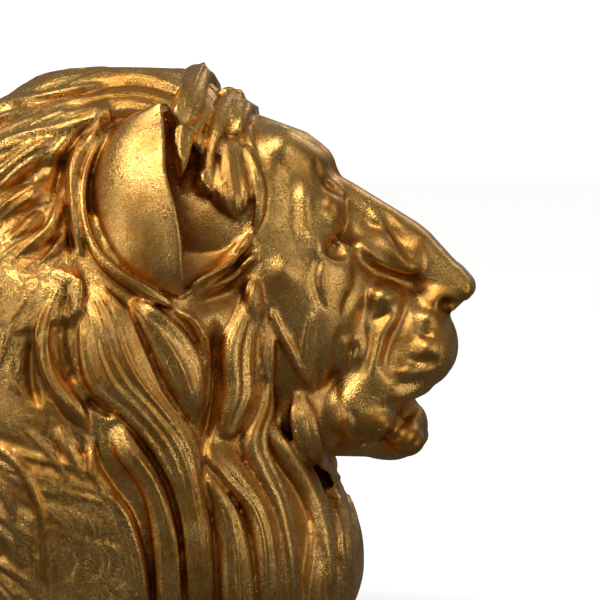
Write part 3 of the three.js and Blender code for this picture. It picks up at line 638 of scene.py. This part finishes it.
def leafForm(leaf, lines, ups, chance):
    # The points of one leaf of hair on the rings of a unit sphere, from its root to its tip
    t = np.linspace(0, 1, samples["along"] + 1)[:, None]
    turn = (np.arange(samples["around"]) / samples["around"] * 2 * math.pi)[None, :]
    u, s = np.cos(turn), np.sin(turn)
    closing = np.clip(t / 0.10, 0, 1) ** 0.5 * np.clip((1 - t) / 0.14, 0, 1) ** 0.6
    w = 0.5 - mane["fill"] / 2 * u * closing
    place, up = crossed(lines, w), crossed(ups, w)
    up /= np.linalg.norm(up, axis=-1, keepdims=True) + 1e-9
    width = np.linalg.norm(lines[0] - lines[-1], axis=-1)[:, None] * closing
    sway = w + 0.035 * np.sin(2 * math.pi * (chance.uniform(0.8, 1.6) * t + chance.uniform(0, 1)))
    ridges = ridged(sway, t, leaf["ridges"], 0.45, chance) * np.minimum(1, width / (leaf["ridges"] * 4.0))
    strands = leaf.get("strands", max(2, round(float(width.max()) / mane["strandPitch"])))
    fine = ridged(sway + 0.02 * np.sin(9 * t), t, strands, 0.1, chance)
    fine = fine * np.minimum(1, width / (strands * 2.4))
    crown = np.maximum(s, 0) ** mane["crownPower"] * (1 + chance.uniform(-0.22, 0.22) * u)
    rise = leaf["rise"] * np.minimum(1, width / 11) ** 0.6
    rise = rise * (0.1 + 0.9 * eased(t, 0, 0.24)) * (0.3 + 0.7 * eased(1 - t, 0, 0.28))
    shoulder = np.maximum(s, 0) ** 0.5
    top = rise * (crown * (1 - mane["ridgeShare"]) + ridges * mane["ridgeShare"] * shoulder)
    top = top + fine * mane["strandRelief"] * shoulder
    lift = leaf.get("lift", 0) - mane["rootSink"] * (1 - eased(t, 0, 0.2))
    form = np.where(s > 0, top + lift, mane["sink"] * s + np.minimum(lift, 0))
    # Where the fine strands run: how far across and along the leaf, in mm
    length = np.linalg.norm(np.diff(lines[len(lines) // 2], axis=0), axis=1).sum()
    strandPlace = np.stack([sway * float(width.max()), 0 * w + t * length], -1)
    return place + up * form[..., None], strandPlace


def leafForms(leaves, chance):
    lines, ups = laidLeaves(leaves)
    return [leafForm(leaf, line, up, chance) for leaf, line, up in zip(leaves, lines, ups)]


def strip(middle, half):
    # A leaf's two routes at half its width to either side of a middle route
    line = np.array(middle, float)
    run = np.gradient(line, axis=0)
    run /= np.linalg.norm(run, axis=1, keepdims=True)
    out = np.stack([-run[:, 1], run[:, 0]], 1) * half
    return dict(first=line + out, last=line - out)


def allLeaves(chance):
    made = []
    for view in ("right", "left"):
        for leaf in sideHair:
            shift = chance.normal(0, 1.2, 2) if view == "left" else 0
            routes = {end: fromPicture(leaf[end]) + shift for end in ("first", "last")}
            made.append(dict(leaf, view=view, **routes))
    for row, (top, bottom, count, reach) in enumerate(mane["backTiers"]):
        for i in range(count):
            y = (i / (count - 1) - 0.5) * reach
            sway = chance.uniform(6, 12) * (1 if (i + row) % 2 else -1)
            drop = chance.uniform(-8, 8)
            middle = [
                (y * 0.75, top + drop), (y * 0.9 + sway, top * 0.67 + bottom * 0.33 + drop),
                (y - sway, top * 0.33 + bottom * 0.67 + drop), (y + sway * 0.8, bottom + min(drop, 0)),
            ]
            made.append(dict(strip(middle, 17), view="back", ridges=3, rise=chance.uniform(9, 12)))
    for i in range(mane["crownLeaves"]):
        y = (i - (mane["crownLeaves"] - 1) / 2) * 15
        middle = [(32 - abs(y) * 0.2, y * 0.75), (4, y), (-40, y * 1.1 + 4), (-112, y * 1.35)]
        made.append(dict(strip(middle, 10), view="top", ridges=2, rise=chance.uniform(7, 10)))
    for i in range(mane["chestLeaves"]):
        y = (i - (mane["chestLeaves"] - 1) / 2) * 18
        middle = [(y * 0.35, 104), (y * 0.9, 70), (y + chance.uniform(-4, 4), 40), (y * 0.92, -4)]
        made.append(dict(strip(middle, 12), view="front", ridges=3, rise=9))
    return made


# The ears are cups. At each height: the middle, how far out, and the reach backwards, forwards and outwards.
ear = {
    "rows": [
        (0, 94, 211, 4, 4, 4), (1, 86, 218, 35, 10, 14), (1, 76, 228, 49, 21, 27), (0.5, 66, 243, 57, 33, 38),
        (-3, 56, 262, 58, 40, 46), (-9, 54, 282, 50, 30, 42), (-11, 57, 300, 39, 15, 30),
        (-13, 63, 313, 24, 9, 14), (-14, 67, 320, 9, 5, 6), (-14, 69, 323, 3, 3, 3),
    ],
    "lip": 1.8,  # how far the rim is rolled outwards
    "fullness": 2.5,  # 2 is a round section, and more has a steeper back
    "wall": 4.5,
    "innerShare": 0.2,  # how far the cup's floor lies below its middle, so many times its outward reach
    "along": 120,
    "around": 160,
}
earCurve = splinePoints(ear["rows"], 400)


def earForm(side):
    t = np.linspace(0, 1, ear["along"] + 1)[:, None]
    at = np.linspace(0, 1, len(earCurve))
    x, out, z, back, front, depth = (np.interp(t, at, earCurve[:, k]) for k in range(6))
    half = ear["around"] // 2
    sweep = np.concatenate([np.linspace(0, 1, half), np.linspace(1, 0, ear["around"] - half)])[None, :]
    inner = np.concatenate([np.zeros(half), np.ones(ear["around"] - half)])[None, :]
    angle = -math.pi / 2 - sweep * math.pi * 1.5
    c, s = np.cos(angle), np.sin(angle)
    wall = inner * np.minimum(ear["wall"], depth * 0.45)
    reach = np.maximum(np.where(c < 0, back, front), 1.5) - wall
    outward = np.maximum(depth, 1.5) - wall
    outward = np.where(s < 0, outward, outward * ear["innerShare"])
    outward += ear["lip"] * np.exp(-((sweep / 0.035) ** 2)) * np.minimum(depth / 20, 1)
    full = (np.abs(c) ** ear["fullness"] + np.abs(s) ** ear["fullness"]) ** (-1 / ear["fullness"])
    return np.stack([x + reach * c * full, side * (out - outward * s * full), z + 0 * s], -1)


def clearOfEars(p):
    # What lies in the hollow of an ear or over it moves in to the ear's inner wall
    z = p[..., 2]
    x, out, back, front, depth = (np.interp(z, earCurve[:, 2], earCurve[:, k]) for k in (0, 1, 3, 4, 5))
    dx = p[..., 0] - x
    share = np.abs(dx) / np.maximum(np.where(dx < 0, back, front) - ear["wall"] * 0.5, 0.1)
    deep = depth * np.maximum(1 - share ** ear["fullness"], 0) ** (1 / ear["fullness"])
    wall = out - ear["innerShare"] * deep
    far = np.abs(p[..., 1])
    here = (z > earCurve[0, 2]) & (z < earCurve[-1, 2]) & (share < 1) & (far > wall)
    here &= (dx > 0) | (far < out + deep)  # what lies behind the ear stays there
    moved = p.copy()
    moved[..., 1] = np.where(here, np.sign(p[..., 1]) * wall, p[..., 1])
    return moved


def ringOrder(mesh):
    # Which ring and which place on it each point of a unit sphere made by the operator has
    co = np.empty(len(mesh.vertices) * 3)
    mesh.vertices.foreach_get("co", co)
    co = co.reshape(-1, 3)
    polar = np.arccos(np.clip(co[:, 2], -1, 1)) / math.pi
    return polar, np.mod(np.arctan2(co[:, 1], co[:, 0]), 2 * math.pi) / (2 * math.pi)


def pieceFrom(name, bm):
    mesh = bpy.data.meshes.new(name)
    bm.to_mesh(mesh)
    bm.free()
    made = bpy.data.objects.new(name, mesh)
    bpy.context.scene.collection.objects.link(made)
    return made


def applied(piece):
    # The piece's mesh with its modifiers worked into it
    graph = bpy.context.evaluated_depsgraph_get()
    mesh = bpy.data.meshes.new_from_object(piece.evaluated_get(graph))
    piece.modifiers.clear()
    old = piece.data
    piece.data = mesh
    bpy.data.meshes.remove(old)


def sphereForms(name, forms, around, along):
    # One sphere for each form, with its points moved to the form's rings
    bm = bmesh.new()
    bmesh.ops.create_uvsphere(bm, u_segments=around, v_segments=along, radius=1)
    made = pieceFrom(name, bm)
    copies = made.modifiers.new("copies", "ARRAY")
    copies.count = len(forms)
    copies.relative_offset_displace = (0, 0, 0)
    applied(made)
    polar, turn = ringOrder(made.data)
    ring = np.clip(np.rint(polar * along).astype(int), 0, along)
    step = np.rint(turn * around).astype(int) % around
    per = len(made.data.vertices) // len(forms)
    co = np.empty((len(made.data.vertices), 3))
    for k, form in enumerate(forms):
        some = slice(k * per, (k + 1) * per)
        co[some] = form[ring[some], step[some]]
        for end in (0, along):
            atEnd = np.nonzero(ring[some] == end)[0] + k * per
            co[atEnd] = form[end].mean(0)
    made.data.vertices.foreach_set("co", (co * mm).ravel())
    return made


def bodyForm(along, around):
    t = np.linspace(0, 1, along + 1)[:, None]
    top, bottom = rows[-1, 0], rows[0, 0]
    z = top + (bottom - top) * np.clip((t * along - 1) / (along - 2), 0, 1)
    front, back, half = maneRow(z)
    turn = (np.arange(around) / around * 2 * math.pi)[None, :]
    closing = np.clip(np.minimum(t, 1 - t) * along, 0, 1)
    power = 2 / mane["squareness"]
    c, s = np.cos(turn), np.sin(turn)
    inset = mane["inset"]
    x = (front + back) / 2 + closing * ((front - back) / 2 - inset) * np.sign(c) * np.abs(c) ** power
    y = closing * (half - inset) * np.sign(s) * np.abs(s) ** power
    return np.stack([x, y, z + 0 * c], -1)


def pointsOf(piece):
    co = np.empty(len(piece.data.vertices) * 3)
    piece.data.vertices.foreach_get("co", co)
    return co.reshape(-1, 3) / mm


def movePoints(piece, points):
    piece.data.vertices.foreach_set("co", (points * mm).ravel())
    piece.data.update()


def neighbourMeans(edges, values, alone=0.0):
    # The means of the neighbours' values, and alone where a point has no neighbour
    count = len(values)
    ends = np.concatenate([edges[:, 0], edges[:, 1]])
    others = np.concatenate([edges[:, 1], edges[:, 0]])
    degree = np.bincount(ends, minlength=count)[:, None]
    sums = np.stack([np.bincount(ends, values[others, k], count) for k in range(values.shape[1])], 1)
    return np.where(degree > 0, sums / np.maximum(degree, 1), alone)


def edgesOf(piece):
    found = np.empty(len(piece.data.edges) * 2, dtype=np.int64)
    piece.data.edges.foreach_get("vertices", found)
    return found.reshape(-1, 2)


skinLook = {
    "voxel": 1.15,  # mm
    "faces": 196000,
    "rounding": 0.25,  # of the way to the neighbours' mean
    "farSide": (12, 60),  # left of this y and behind this x, in mm, the skin has fewer faces
    "behind": -120,  # so it has behind this x
    "low": 14,  # and below this z
    "seenShare": 0.35,  # how readily faces are thinned where the photograph looks
    "strandReach": (1.6, 4.0),  # mm from a leaf where its strands run out
    "rays": 32,
    "rayReach": 45,  # mm
}


def headPiece():
    bm = bmesh.new()
    bmesh.ops.create_icosphere(bm, subdivisions=7, radius=1)
    made = pieceFrom("head", bm)
    way = np.empty(len(made.data.vertices) * 3)
    made.data.vertices.foreach_get("co", way)
    way = way.reshape(-1, 3)
    way /= np.linalg.norm(way, axis=1, keepdims=True)
    turn = np.arccos(np.clip(way[:, 0], -1, 1))
    drawn = turn - 0.6 * np.sin(turn)  # closer together towards the face
    across = np.where(np.sin(turn) > 1e-6, np.sin(drawn) / np.maximum(np.sin(turn), 1e-6), 1)
    way = np.stack([np.cos(drawn), way[:, 1] * across, way[:, 2] * across], 1)
    way /= np.linalg.norm(way, axis=1, keepdims=True)
    middle, reach = np.array([20.0, 0, 215]), np.full(len(way), 170.0)
    going = np.arange(len(way))
    for _ in range(160):
        gap = plainHead(middle + way[going] * reach[going, None])
        reach[going] -= np.maximum(gap * 0.55, 0.08)
        going = going[gap > 0.05]
        if len(going) == 0:
            break
    movePoints(made, middle + way * reach[:, None])
    # No point of the sphere is under an overhang, so an even skin is drawn onto the head in small steps
    remesh = made.modifiers.new("skin", "REMESH")
    remesh.mode = "VOXEL"
    remesh.voxel_size = skinLook["voxel"] * 1.1 * mm
    applied(made)
    points, edges = pointsOf(made), edgesOf(made)
    for _ in range(8):
        points = points * 0.5 + neighbourMeans(edges, points) * 0.5
        for _ in range(2):
            ways, steepness = slope(points, plainHead, 0.6)
            points -= ways * np.clip(plainHead(points)[:, None] / np.maximum(steepness, 0.5), -1.5, 1.5)
    movePoints(made, points)
    return made


chance = np.random.default_rng(mane["seed"])
leaves = allLeaves(chance)
forms, strandPlaces = zip(*leafForms(leaves, chance))
forms = [form if "lift" in leaf else clearOfEars(form) for leaf, form in zip(leaves, forms)]
print("leaves of hair:", len(forms))
hairPoints = np.concatenate([form[:, ::2].reshape(-1, 3) for form in forms])
hairPlaces = np.concatenate([place[:, ::2].reshape(-1, 2) for place in strandPlaces])
hairOwners = np.repeat(np.arange(len(forms)), len(hairPoints) // len(forms))
hairTree = KDTree(len(hairPoints))
for number, point in enumerate(hairPoints.tolist()):
    hairTree.insert(point, number)
hairTree.balance()
hair = sphereForms("mane", forms, samples["around"], samples["along"])
body = sphereForms("body", [clearOfEars(bodyForm(80, 120))], 120, 80)
ears = sphereForms("ears", [earForm(side) for side in (-1, 1)], ear["around"], ear["along"])
head = headPiece()
print("head:", len(head.data.vertices), "points")


def joinedPieces(name, pieces):
    bm = bmesh.new()
    for piece in pieces:
        bm.from_mesh(piece.data)
        bpy.data.objects.remove(piece)
    return pieceFrom(name, bm)


bust = joinedPieces("lionBust", [head, body, ears, hair])
remesh = bust.modifiers.new("skin", "REMESH")
remesh.mode = "VOXEL"
remesh.voxel_size = skinLook["voxel"] * mm
applied(bust)
print("cast skin:", len(bust.data.polygons), "faces")


def strokedFace(points):
    # The strokes are laid on the bare face, and run out where hair covers it
    moved = points.copy()
    near = np.nonzero((points[:, 0] > face["start"]) & (points[:, 2] > face["foot"]))[0]
    gap = np.abs(plainHead(points[near]))
    near, gap = near[gap < face["offSkin"][1]], gap[gap < face["offSkin"][1]]
    p = points[near]
    hairAway = np.array([hairTree.find(point)[2] for point in p.tolist()])
    bare = eased(hairAway, *face["besideHair"]) * (1 - eased(gap, *face["offSkin"]))
    moved[near] += slope(p, plainHead, 1.0)[0] * (faceHeight(p) * bare)[:, None]
    return moved


def sunkenHollows(points):
    # What lies in a hollow of the hair moves in along the line of sight
    depth = reliefAt(points, hollows) * eased(np.abs(points[:, 1]), 30, 50)
    inward = np.where(points[:, 1:2] < 0, views["right"][1], views["left"][1])
    return points - inward * depth[:, None]


points, rounding = pointsOf(bust), skinLook["rounding"]
points = points * (1 - rounding) + neighbourMeans(edgesOf(bust), points) * rounding
movePoints(bust, sunkenHollows(strokedFace(points)))


def thinned(piece, points):
    # More faces stay where the photograph looks: the face and the right side
    x, y, z = points.T
    plainer = ((y > skinLook["farSide"][0]) & (x < skinLook["farSide"][1])) | (x < skinLook["behind"])
    plainer |= z < skinLook["low"]
    group = piece.vertex_groups.new(name="plainer")
    group.add(np.nonzero(plainer)[0].tolist(), 1.0, "REPLACE")
    group.add(np.nonzero(~plainer)[0].tolist(), skinLook["seenShare"], "REPLACE")
    thin = piece.modifiers.new("thin", "DECIMATE")
    thin.vertex_group = "plainer"
    thin.vertex_group_factor = 1.0
    thin.ratio = min(1.0, skinLook["faces"] / (2 * len(piece.data.polygons)))
    applied(piece)


def cutFlat(piece):
    # What lies below the floor goes, and the cut is closed
    bm = bmesh.new()
    bm.from_mesh(piece.data)
    everything = bm.verts[:] + bm.edges[:] + bm.faces[:]
    cut = bmesh.ops.bisect_plane(
        bm, geom=everything, plane_co=(0, 0, 0), plane_no=(0, 0, -1), clear_outer=True
    )
    rim = [item for item in cut["geom_cut"] if isinstance(item, bmesh.types.BMEdge)]
    bmesh.ops.triangle_fill(bm, use_beauty=True, use_dissolve=False, edges=rim)
    bmesh.ops.triangulate(bm, faces=[f for f in bm.faces if len(f.verts) > 3])
    bmesh.ops.recalc_face_normals(bm, faces=bm.faces)
    bm.to_mesh(piece.data)
    bm.free()


thinned(bust, points)
print("thinned:", len(bust.data.polygons), "faces")
cutFlat(bust)
print("cut flat:", len(bust.data.polygons), "faces")


def normalsOf(piece):
    normals = np.empty(len(piece.data.vertices) * 3)
    piece.data.vertices.foreach_get("normal", normals)
    return normals.reshape(-1, 3)


def keep(piece, name, values):
    # One number for each point, which the gold's nodes read by its name
    attribute = piece.data.attributes.new(name, "FLOAT", "POINT")
    attribute.data.foreach_set("value", values.astype(np.float32))


def keepRelief(piece):
    # How far each point stands out of its surroundings, near and less near, for the gold's wear, and for the
    # dirt and dark wax in its hollows, which also paint shade there
    points, edges, normals = pointsOf(piece), edgesOf(piece), normalsOf(piece)
    smooth = points.copy()
    for name, rounds in (("fineRelief", 3), ("middleRelief", 15)):
        for _ in range(rounds):
            smooth = neighbourMeans(edges, smooth)
        keep(piece, name, ((points - smooth) * normals).sum(1))


def keepStrands(piece):
    # Where each point of the hair lies across and along its leaf, for the fine strands in the gold
    points, edges = pointsOf(piece), edgesOf(piece)
    found = [hairTree.find(point)[1:] for point in points.tolist()]
    nearest, away = np.array([item[0] for item in found]), np.array([item[1] for item in found])
    place, owner = hairPlaces[nearest], hairOwners[nearest]
    same = edges[owner[edges[:, 0]] == owner[edges[:, 1]]]
    for _ in range(6):
        place = place * 0.3 + neighbourMeans(same, place, place) * 0.7
    onHair = 1 - eased(away, *skinLook["strandReach"])
    across = edges[owner[edges[:, 0]] != owner[edges[:, 1]]]
    onHair[across.ravel()] *= 0.3
    onHair = onHair * 0.5 + neighbourMeans(edges, onHair[:, None])[:, 0] * 0.5
    kept = np.stack([place[:, 0], place[:, 1], owner * 31.7], 1)
    attribute = piece.data.attributes.new("strands", "FLOAT_VECTOR", "POINT")
    attribute.data.foreach_set("vector", kept.astype(np.float32).ravel())
    keep(piece, "onHair", onHair)


def keepOpenness(piece):
    # How freely each point sees its surroundings, from 0 in a deep crease to 1 in the open. The gold's colour
    # is darkened where this is low, which paints shade into the creases.
    rays, reach = skinLook["rays"], skinLook["rayReach"]
    points, edges, normals = pointsOf(piece), edgesOf(piece), normalsOf(piece)
    corners = np.empty(len(piece.data.polygons) * 3, dtype=np.int64)
    piece.data.polygons.foreach_get("vertices", corners)
    tree = BVHTree.FromPolygons(points.tolist(), corners.reshape(-1, 3).tolist(), all_triangles=True)
    k = np.arange(rays) + 0.5
    polar, turn = np.arccos(1 - 2 * k / rays), math.pi * (1 + 5**0.5) * k
    ways = np.stack([np.sin(polar) * np.cos(turn), np.sin(polar) * np.sin(turn), np.cos(polar)], 1)
    facing = normals @ ways.T
    starts = (points + normals * 0.6).tolist()
    seen, weight = np.zeros(len(points)), np.zeros(len(points))
    for way, towards in zip(ways, facing.T):
        wayOut = tuple(way)
        some = np.nonzero(towards > 0.12)[0]
        hits = [tree.ray_cast(starts[i], wayOut, reach)[3] for i in some]
        clear = np.array([1.0 if hit is None else hit / reach for hit in hits])
        seen[some] += towards[some] * clear
        weight[some] += towards[some]
    seen = (seen / np.maximum(weight, 0.1))[:, None]
    seen = seen * 0.4 + neighbourMeans(edges, seen) * 0.6
    keep(piece, "openness", seen[:, 0])


keepRelief(bust)
keepStrands(bust)
keepOpenness(bust)
print("relief, strands and hollows kept")
bust.data.shade_smooth()

goldLook = {
    "bright": (0.90, 0.535, 0.155, 1),
    "deep": (0.50, 0.205, 0.024, 1),
    "brown": (0.10, 0.028, 0.0018, 1),
    "rosy": (0.60, 0.31, 0.14, 1),
    "green": (0.40, 0.30, 0.09, 1),
    # Sizes in mm
    "grainSize": 0.95,
    "grainDepth": 0.32,
    "speckleSize": 1.1,
    "patchSize": 11,
    "greenSize": 17,
    "cloudSize": 34,
    "rippleSize": 6.0,
    "pitSpacing": 9.0,
    "strandGrain": (2.4, 70),  # across and along the hair
    # Depths in grain depths
    "rippleDepth": 0.5,
    "pitDepth": 2.0,
    "strandDepth": 1.8,
    # How much each of these keeps dirt and painted shade off where it is high
    "dirtAndShade": {"middle": 0.55, "fine": 1.2, "openness": 6.5, "speckle": 12.0, "patches": 2.4, "strands": 3.0},
    "openAt": 0.56,  # less open than this draws dirt and painted shade
    "roughness": 0.28,
    "lacquer": 0.08,
    "lacquerRoughness": 0.25,
}


def antiqueGold():
    material = bpy.data.materials.new("antiqueGold")
    material.use_nodes = True
    tree = material.node_tree
    nodes, links = tree.nodes, tree.links
    nodes.clear()

    def node(kind, **settings):
        made = nodes.new(kind)
        for key, value in settings.items():
            if key in made.inputs:
                made.inputs[key].default_value = value
            else:
                setattr(made, key, value)
        return made

    def noise(size, detail=3.0, roughness=0.55, distortion=0.0):
        made = node("ShaderNodeTexNoise", Detail=detail, Roughness=roughness, Distortion=distortion)
        made.inputs["Scale"].default_value = 1000 / size
        links.new(coordinates.outputs["Object"], made.inputs["Vector"])
        return made.outputs["Fac"]

    def ramp(value, low, high):
        made = node("ShaderNodeMapRange", interpolation_type="SMOOTHSTEP")
        links.new(value, made.inputs["Value"])
        made.inputs["From Min"].default_value = low
        made.inputs["From Max"].default_value = high
        return made.outputs["Result"]

    def maths(operation, a, b):
        made = node("ShaderNodeMath", operation=operation)
        for value, socket in ((a, made.inputs[0]), (b, made.inputs[1])):
            if isinstance(value, (int, float)):
                socket.default_value = value
            else:
                links.new(value, socket)
        return made.outputs[0]

    def above(value, level, weight):
        return maths("MULTIPLY", maths("SUBTRACT", value, level), weight)

    def mixed(share, a, b):
        made = node("ShaderNodeMix", data_type="RGBA")
        for value, socket in ((share, made.inputs["Factor"]), (a, made.inputs[6]), (b, made.inputs[7])):
            if isinstance(value, tuple):
                socket.default_value = value
            else:
                links.new(value, socket)
        return made.outputs[2]

    def kept(name, output="Fac"):
        return node("ShaderNodeAttribute", attribute_name=name).outputs[output]

    def combed(across, along):
        # Noise drawn out along the strands of hair, its grains so many mm across and along
        stretch = node("ShaderNodeMapping", vector_type="POINT")
        stretch.inputs["Scale"].default_value = (1 / across, 1 / along, 1)
        links.new(kept("strands", "Vector"), stretch.inputs["Vector"])
        made = node("ShaderNodeTexNoise", Detail=2.0, Roughness=0.6, Scale=1.0)
        links.new(stretch.outputs["Vector"], made.inputs["Vector"])
        return made.outputs["Fac"]

    coordinates = node("ShaderNodeTexCoord")
    onHair = kept("onHair")
    cloudy = noise(goldLook["cloudSize"], 4)
    patchy = noise(goldLook["patchSize"], 5, 0.65, 0.4)
    greenish = noise(goldLook["greenSize"], 4, 0.6, 0.3)
    speckle = noise(goldLook["speckleSize"], 3, 0.8)
    grain = noise(goldLook["grainSize"], 2.5, 0.65)
    ripple = noise(goldLook["rippleSize"], 2, 0.5)
    strands = combed(*goldLook["strandGrain"])

    # Dirt and dark wax lie in the hollows, where the surface is below its surroundings or hemmed in, broken
    # up by the grain; there the colour is also darkened as painted shade
    share = goldLook["dirtAndShade"]
    low = maths("MULTIPLY", kept("middleRelief"), share["middle"])
    for part in (
        maths("MULTIPLY", kept("fineRelief"), share["fine"]),
        above(kept("openness"), goldLook["openAt"], share["openness"]),
        above(speckle, 0.5, share["speckle"]),
        above(patchy, 0.5, share["patches"]),
        maths("MULTIPLY", above(strands, 0.5, share["strands"]), onHair),
    ):
        low = maths("ADD", low, part)
    # The gold turns deep, then brown, where it is low or hemmed in: partly real dark wax in the hollows,
    # partly painted shade
    tarnishAndShade = ramp(low, 1.6, -1.8)
    dirtAndShade = ramp(low, -0.6, -3.4)
    colour = mixed(tarnishAndShade, goldLook["bright"], goldLook["deep"])
    colour = mixed(maths("MULTIPLY", ramp(cloudy, 0.46, 0.62), 0.75), colour, goldLook["deep"])
    rosiness = maths("MULTIPLY", ramp(patchy, 0.54, 0.66), 0.55)
    colour = mixed(rosiness, colour, goldLook["rosy"])
    greenness = maths("MULTIPLY", ramp(greenish, 0.56, 0.68), 0.5)
    colour = mixed(greenness, colour, goldLook["green"])
    colour = mixed(maths("MULTIPLY", ramp(speckle, 0.48, 0.58), 0.85), colour, goldLook["deep"])
    # Brown painted into the hollows: real dark wax together with painted shade
    colour = mixed(maths("MULTIPLY", dirtAndShade, 0.92), colour, goldLook["brown"])

    shader = node("ShaderNodeBsdfPrincipled")
    links.new(colour, shader.inputs["Base Color"])
    shader.inputs["Metallic"].default_value = 1.0
    rough = maths("ADD", maths("MULTIPLY", dirtAndShade, 0.22), goldLook["roughness"])
    rough = maths("ADD", rough, maths("MULTIPLY", maths("ADD", rosiness, greenness), 0.14))
    rough = maths("ADD", rough, above(cloudy, 0.5, 0.2))
    links.new(rough, shader.inputs["Roughness"])
    shader.inputs["Coat Weight"].default_value = goldLook["lacquer"]
    shader.inputs["Coat Roughness"].default_value = goldLook["lacquerRoughness"]

    pits = node("ShaderNodeTexVoronoi", Scale=1000 / goldLook["pitSpacing"], Randomness=1.0)
    links.new(coordinates.outputs["Object"], pits.inputs["Vector"])
    pitted = ramp(pits.outputs["Distance"], 0.09, 0.03)
    height = maths("SUBTRACT", grain, maths("MULTIPLY", pitted, goldLook["pitDepth"]))
    height = maths("ADD", height, maths("MULTIPLY", ripple, goldLook["rippleDepth"]))
    combedHeight = maths("MULTIPLY", maths("MULTIPLY", strands, onHair), goldLook["strandDepth"])
    height = maths("ADD", height, combedHeight)
    bump = node("ShaderNodeBump", Strength=1.0, Distance=goldLook["grainDepth"] * mm)
    links.new(height, bump.inputs["Height"])
    links.new(bump.outputs["Normal"], shader.inputs["Normal"])
    output = node("ShaderNodeOutputMaterial")
    links.new(shader.outputs["BSDF"], output.inputs["Surface"])
    return material


bust.data.materials.clear()
bust.data.materials.append(antiqueGold())
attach(bust, "root")
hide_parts("lion_bust")
print("antique gold applied")

studio = {
    "floor": (0.90, 0.90, 0.89, 1),
    "paper": 1.15,  # how bright the studio is behind the object and on the floor
    "glow": (0.08, 0.24),  # what the gold mirrors of it, from the sides and from above
    "target": (0.060, 0.0, 0.204),  # what the middle of the photograph shows
    "distance": 2.4,
    "frameWidth": 0.360,  # what the photograph spans at the lion's middle plane
    "lights": {  # place and size in metres, and power in watts
        "keyLight": ((-1.0, -1.5, 2.4), (1.2, 1.2), 40),
        "frontLight": ((1.9, -1.3, 0.6), (0.5, 1.3), 7),
        "lowLight": ((-1.8, -1.4, 0.3), (0.5, 1.0), 6),
        "backLight": ((0.9, 1.6, 1.5), (0.9, 0.7), 4),
    },
}


def paleFloor():
    bm = bmesh.new()
    bmesh.ops.create_grid(bm, x_segments=1, y_segments=1, size=12)
    floor = pieceFrom("floor", bm)
    material = bpy.data.materials.new("paleFloor")
    material.use_nodes = True
    shader = material.node_tree.nodes["Principled BSDF"]
    shader.inputs["Base Color"].default_value = studio["floor"]
    shader.inputs["Roughness"].default_value = 0.9
    floor.data.materials.append(material)
    floor.visible_glossy = False


def softLight(name, place, size, power):
    lamp = bpy.data.lights.new(name, "AREA")
    lamp.shape = "RECTANGLE"
    lamp.size, lamp.size_y = size
    lamp.energy = power
    light = bpy.data.objects.new(name, lamp)
    light.location = place
    aim = Vector(studio["target"]) - Vector(place)
    light.rotation_euler = aim.to_track_quat("-Z", "Y").to_euler()
    bpy.context.scene.collection.objects.link(light)


def studioWorld():
    # White paper all round, of which a mirror-like surface sees less, as between dark screens
    world = bpy.data.worlds.new("studio")
    bpy.context.scene.world = world
    world.use_nodes = True
    nodes, links = world.node_tree.nodes, world.node_tree.links
    back = nodes["Background"]
    back.inputs["Color"].default_value = (1, 1, 1, 1)
    way = nodes.new("ShaderNodeTexCoord")
    height = nodes.new("ShaderNodeSeparateXYZ")
    links.new(way.outputs["Generated"], height.inputs["Vector"])
    glow = nodes.new("ShaderNodeMapRange")
    glow.inputs["From Min"].default_value = -0.2
    glow.inputs["From Max"].default_value = 0.9
    glow.inputs["To Min"].default_value, glow.inputs["To Max"].default_value = studio["glow"]
    links.new(height.outputs["Z"], glow.inputs["Value"])
    ray = nodes.new("ShaderNodeLightPath")
    strength = nodes.new("ShaderNodeMix")
    strength.inputs["A"].default_value = studio["paper"]
    links.new(ray.outputs["Is Glossy Ray"], strength.inputs["Factor"])
    links.new(glow.outputs["Result"], strength.inputs["B"])
    links.new(strength.outputs["Result"], back.inputs["Strength"])


def camera():
    turn, drop = sight["turn"], sight["drop"]
    away = Vector((math.sin(turn) * math.cos(drop), -math.cos(turn) * math.cos(drop), math.sin(drop)))
    data = bpy.data.cameras.new("camera")
    data.sensor_width = 36
    data.lens = 36 * studio["distance"] / studio["frameWidth"]
    data.clip_end = 100
    made = bpy.data.objects.new("camera", data)
    made.location = Vector(studio["target"]) + away * studio["distance"]
    made.rotation_euler = (-away).to_track_quat("-Z", "Y").to_euler()
    bpy.context.scene.collection.objects.link(made)
    bpy.context.scene.camera = made


paleFloor()
studioWorld()
for name, (place, size, power) in studio["lights"].items():
    softLight(name, place, size, power)
bpy.context.scene.view_settings.view_transform = "Standard"
camera()
print("studio set")
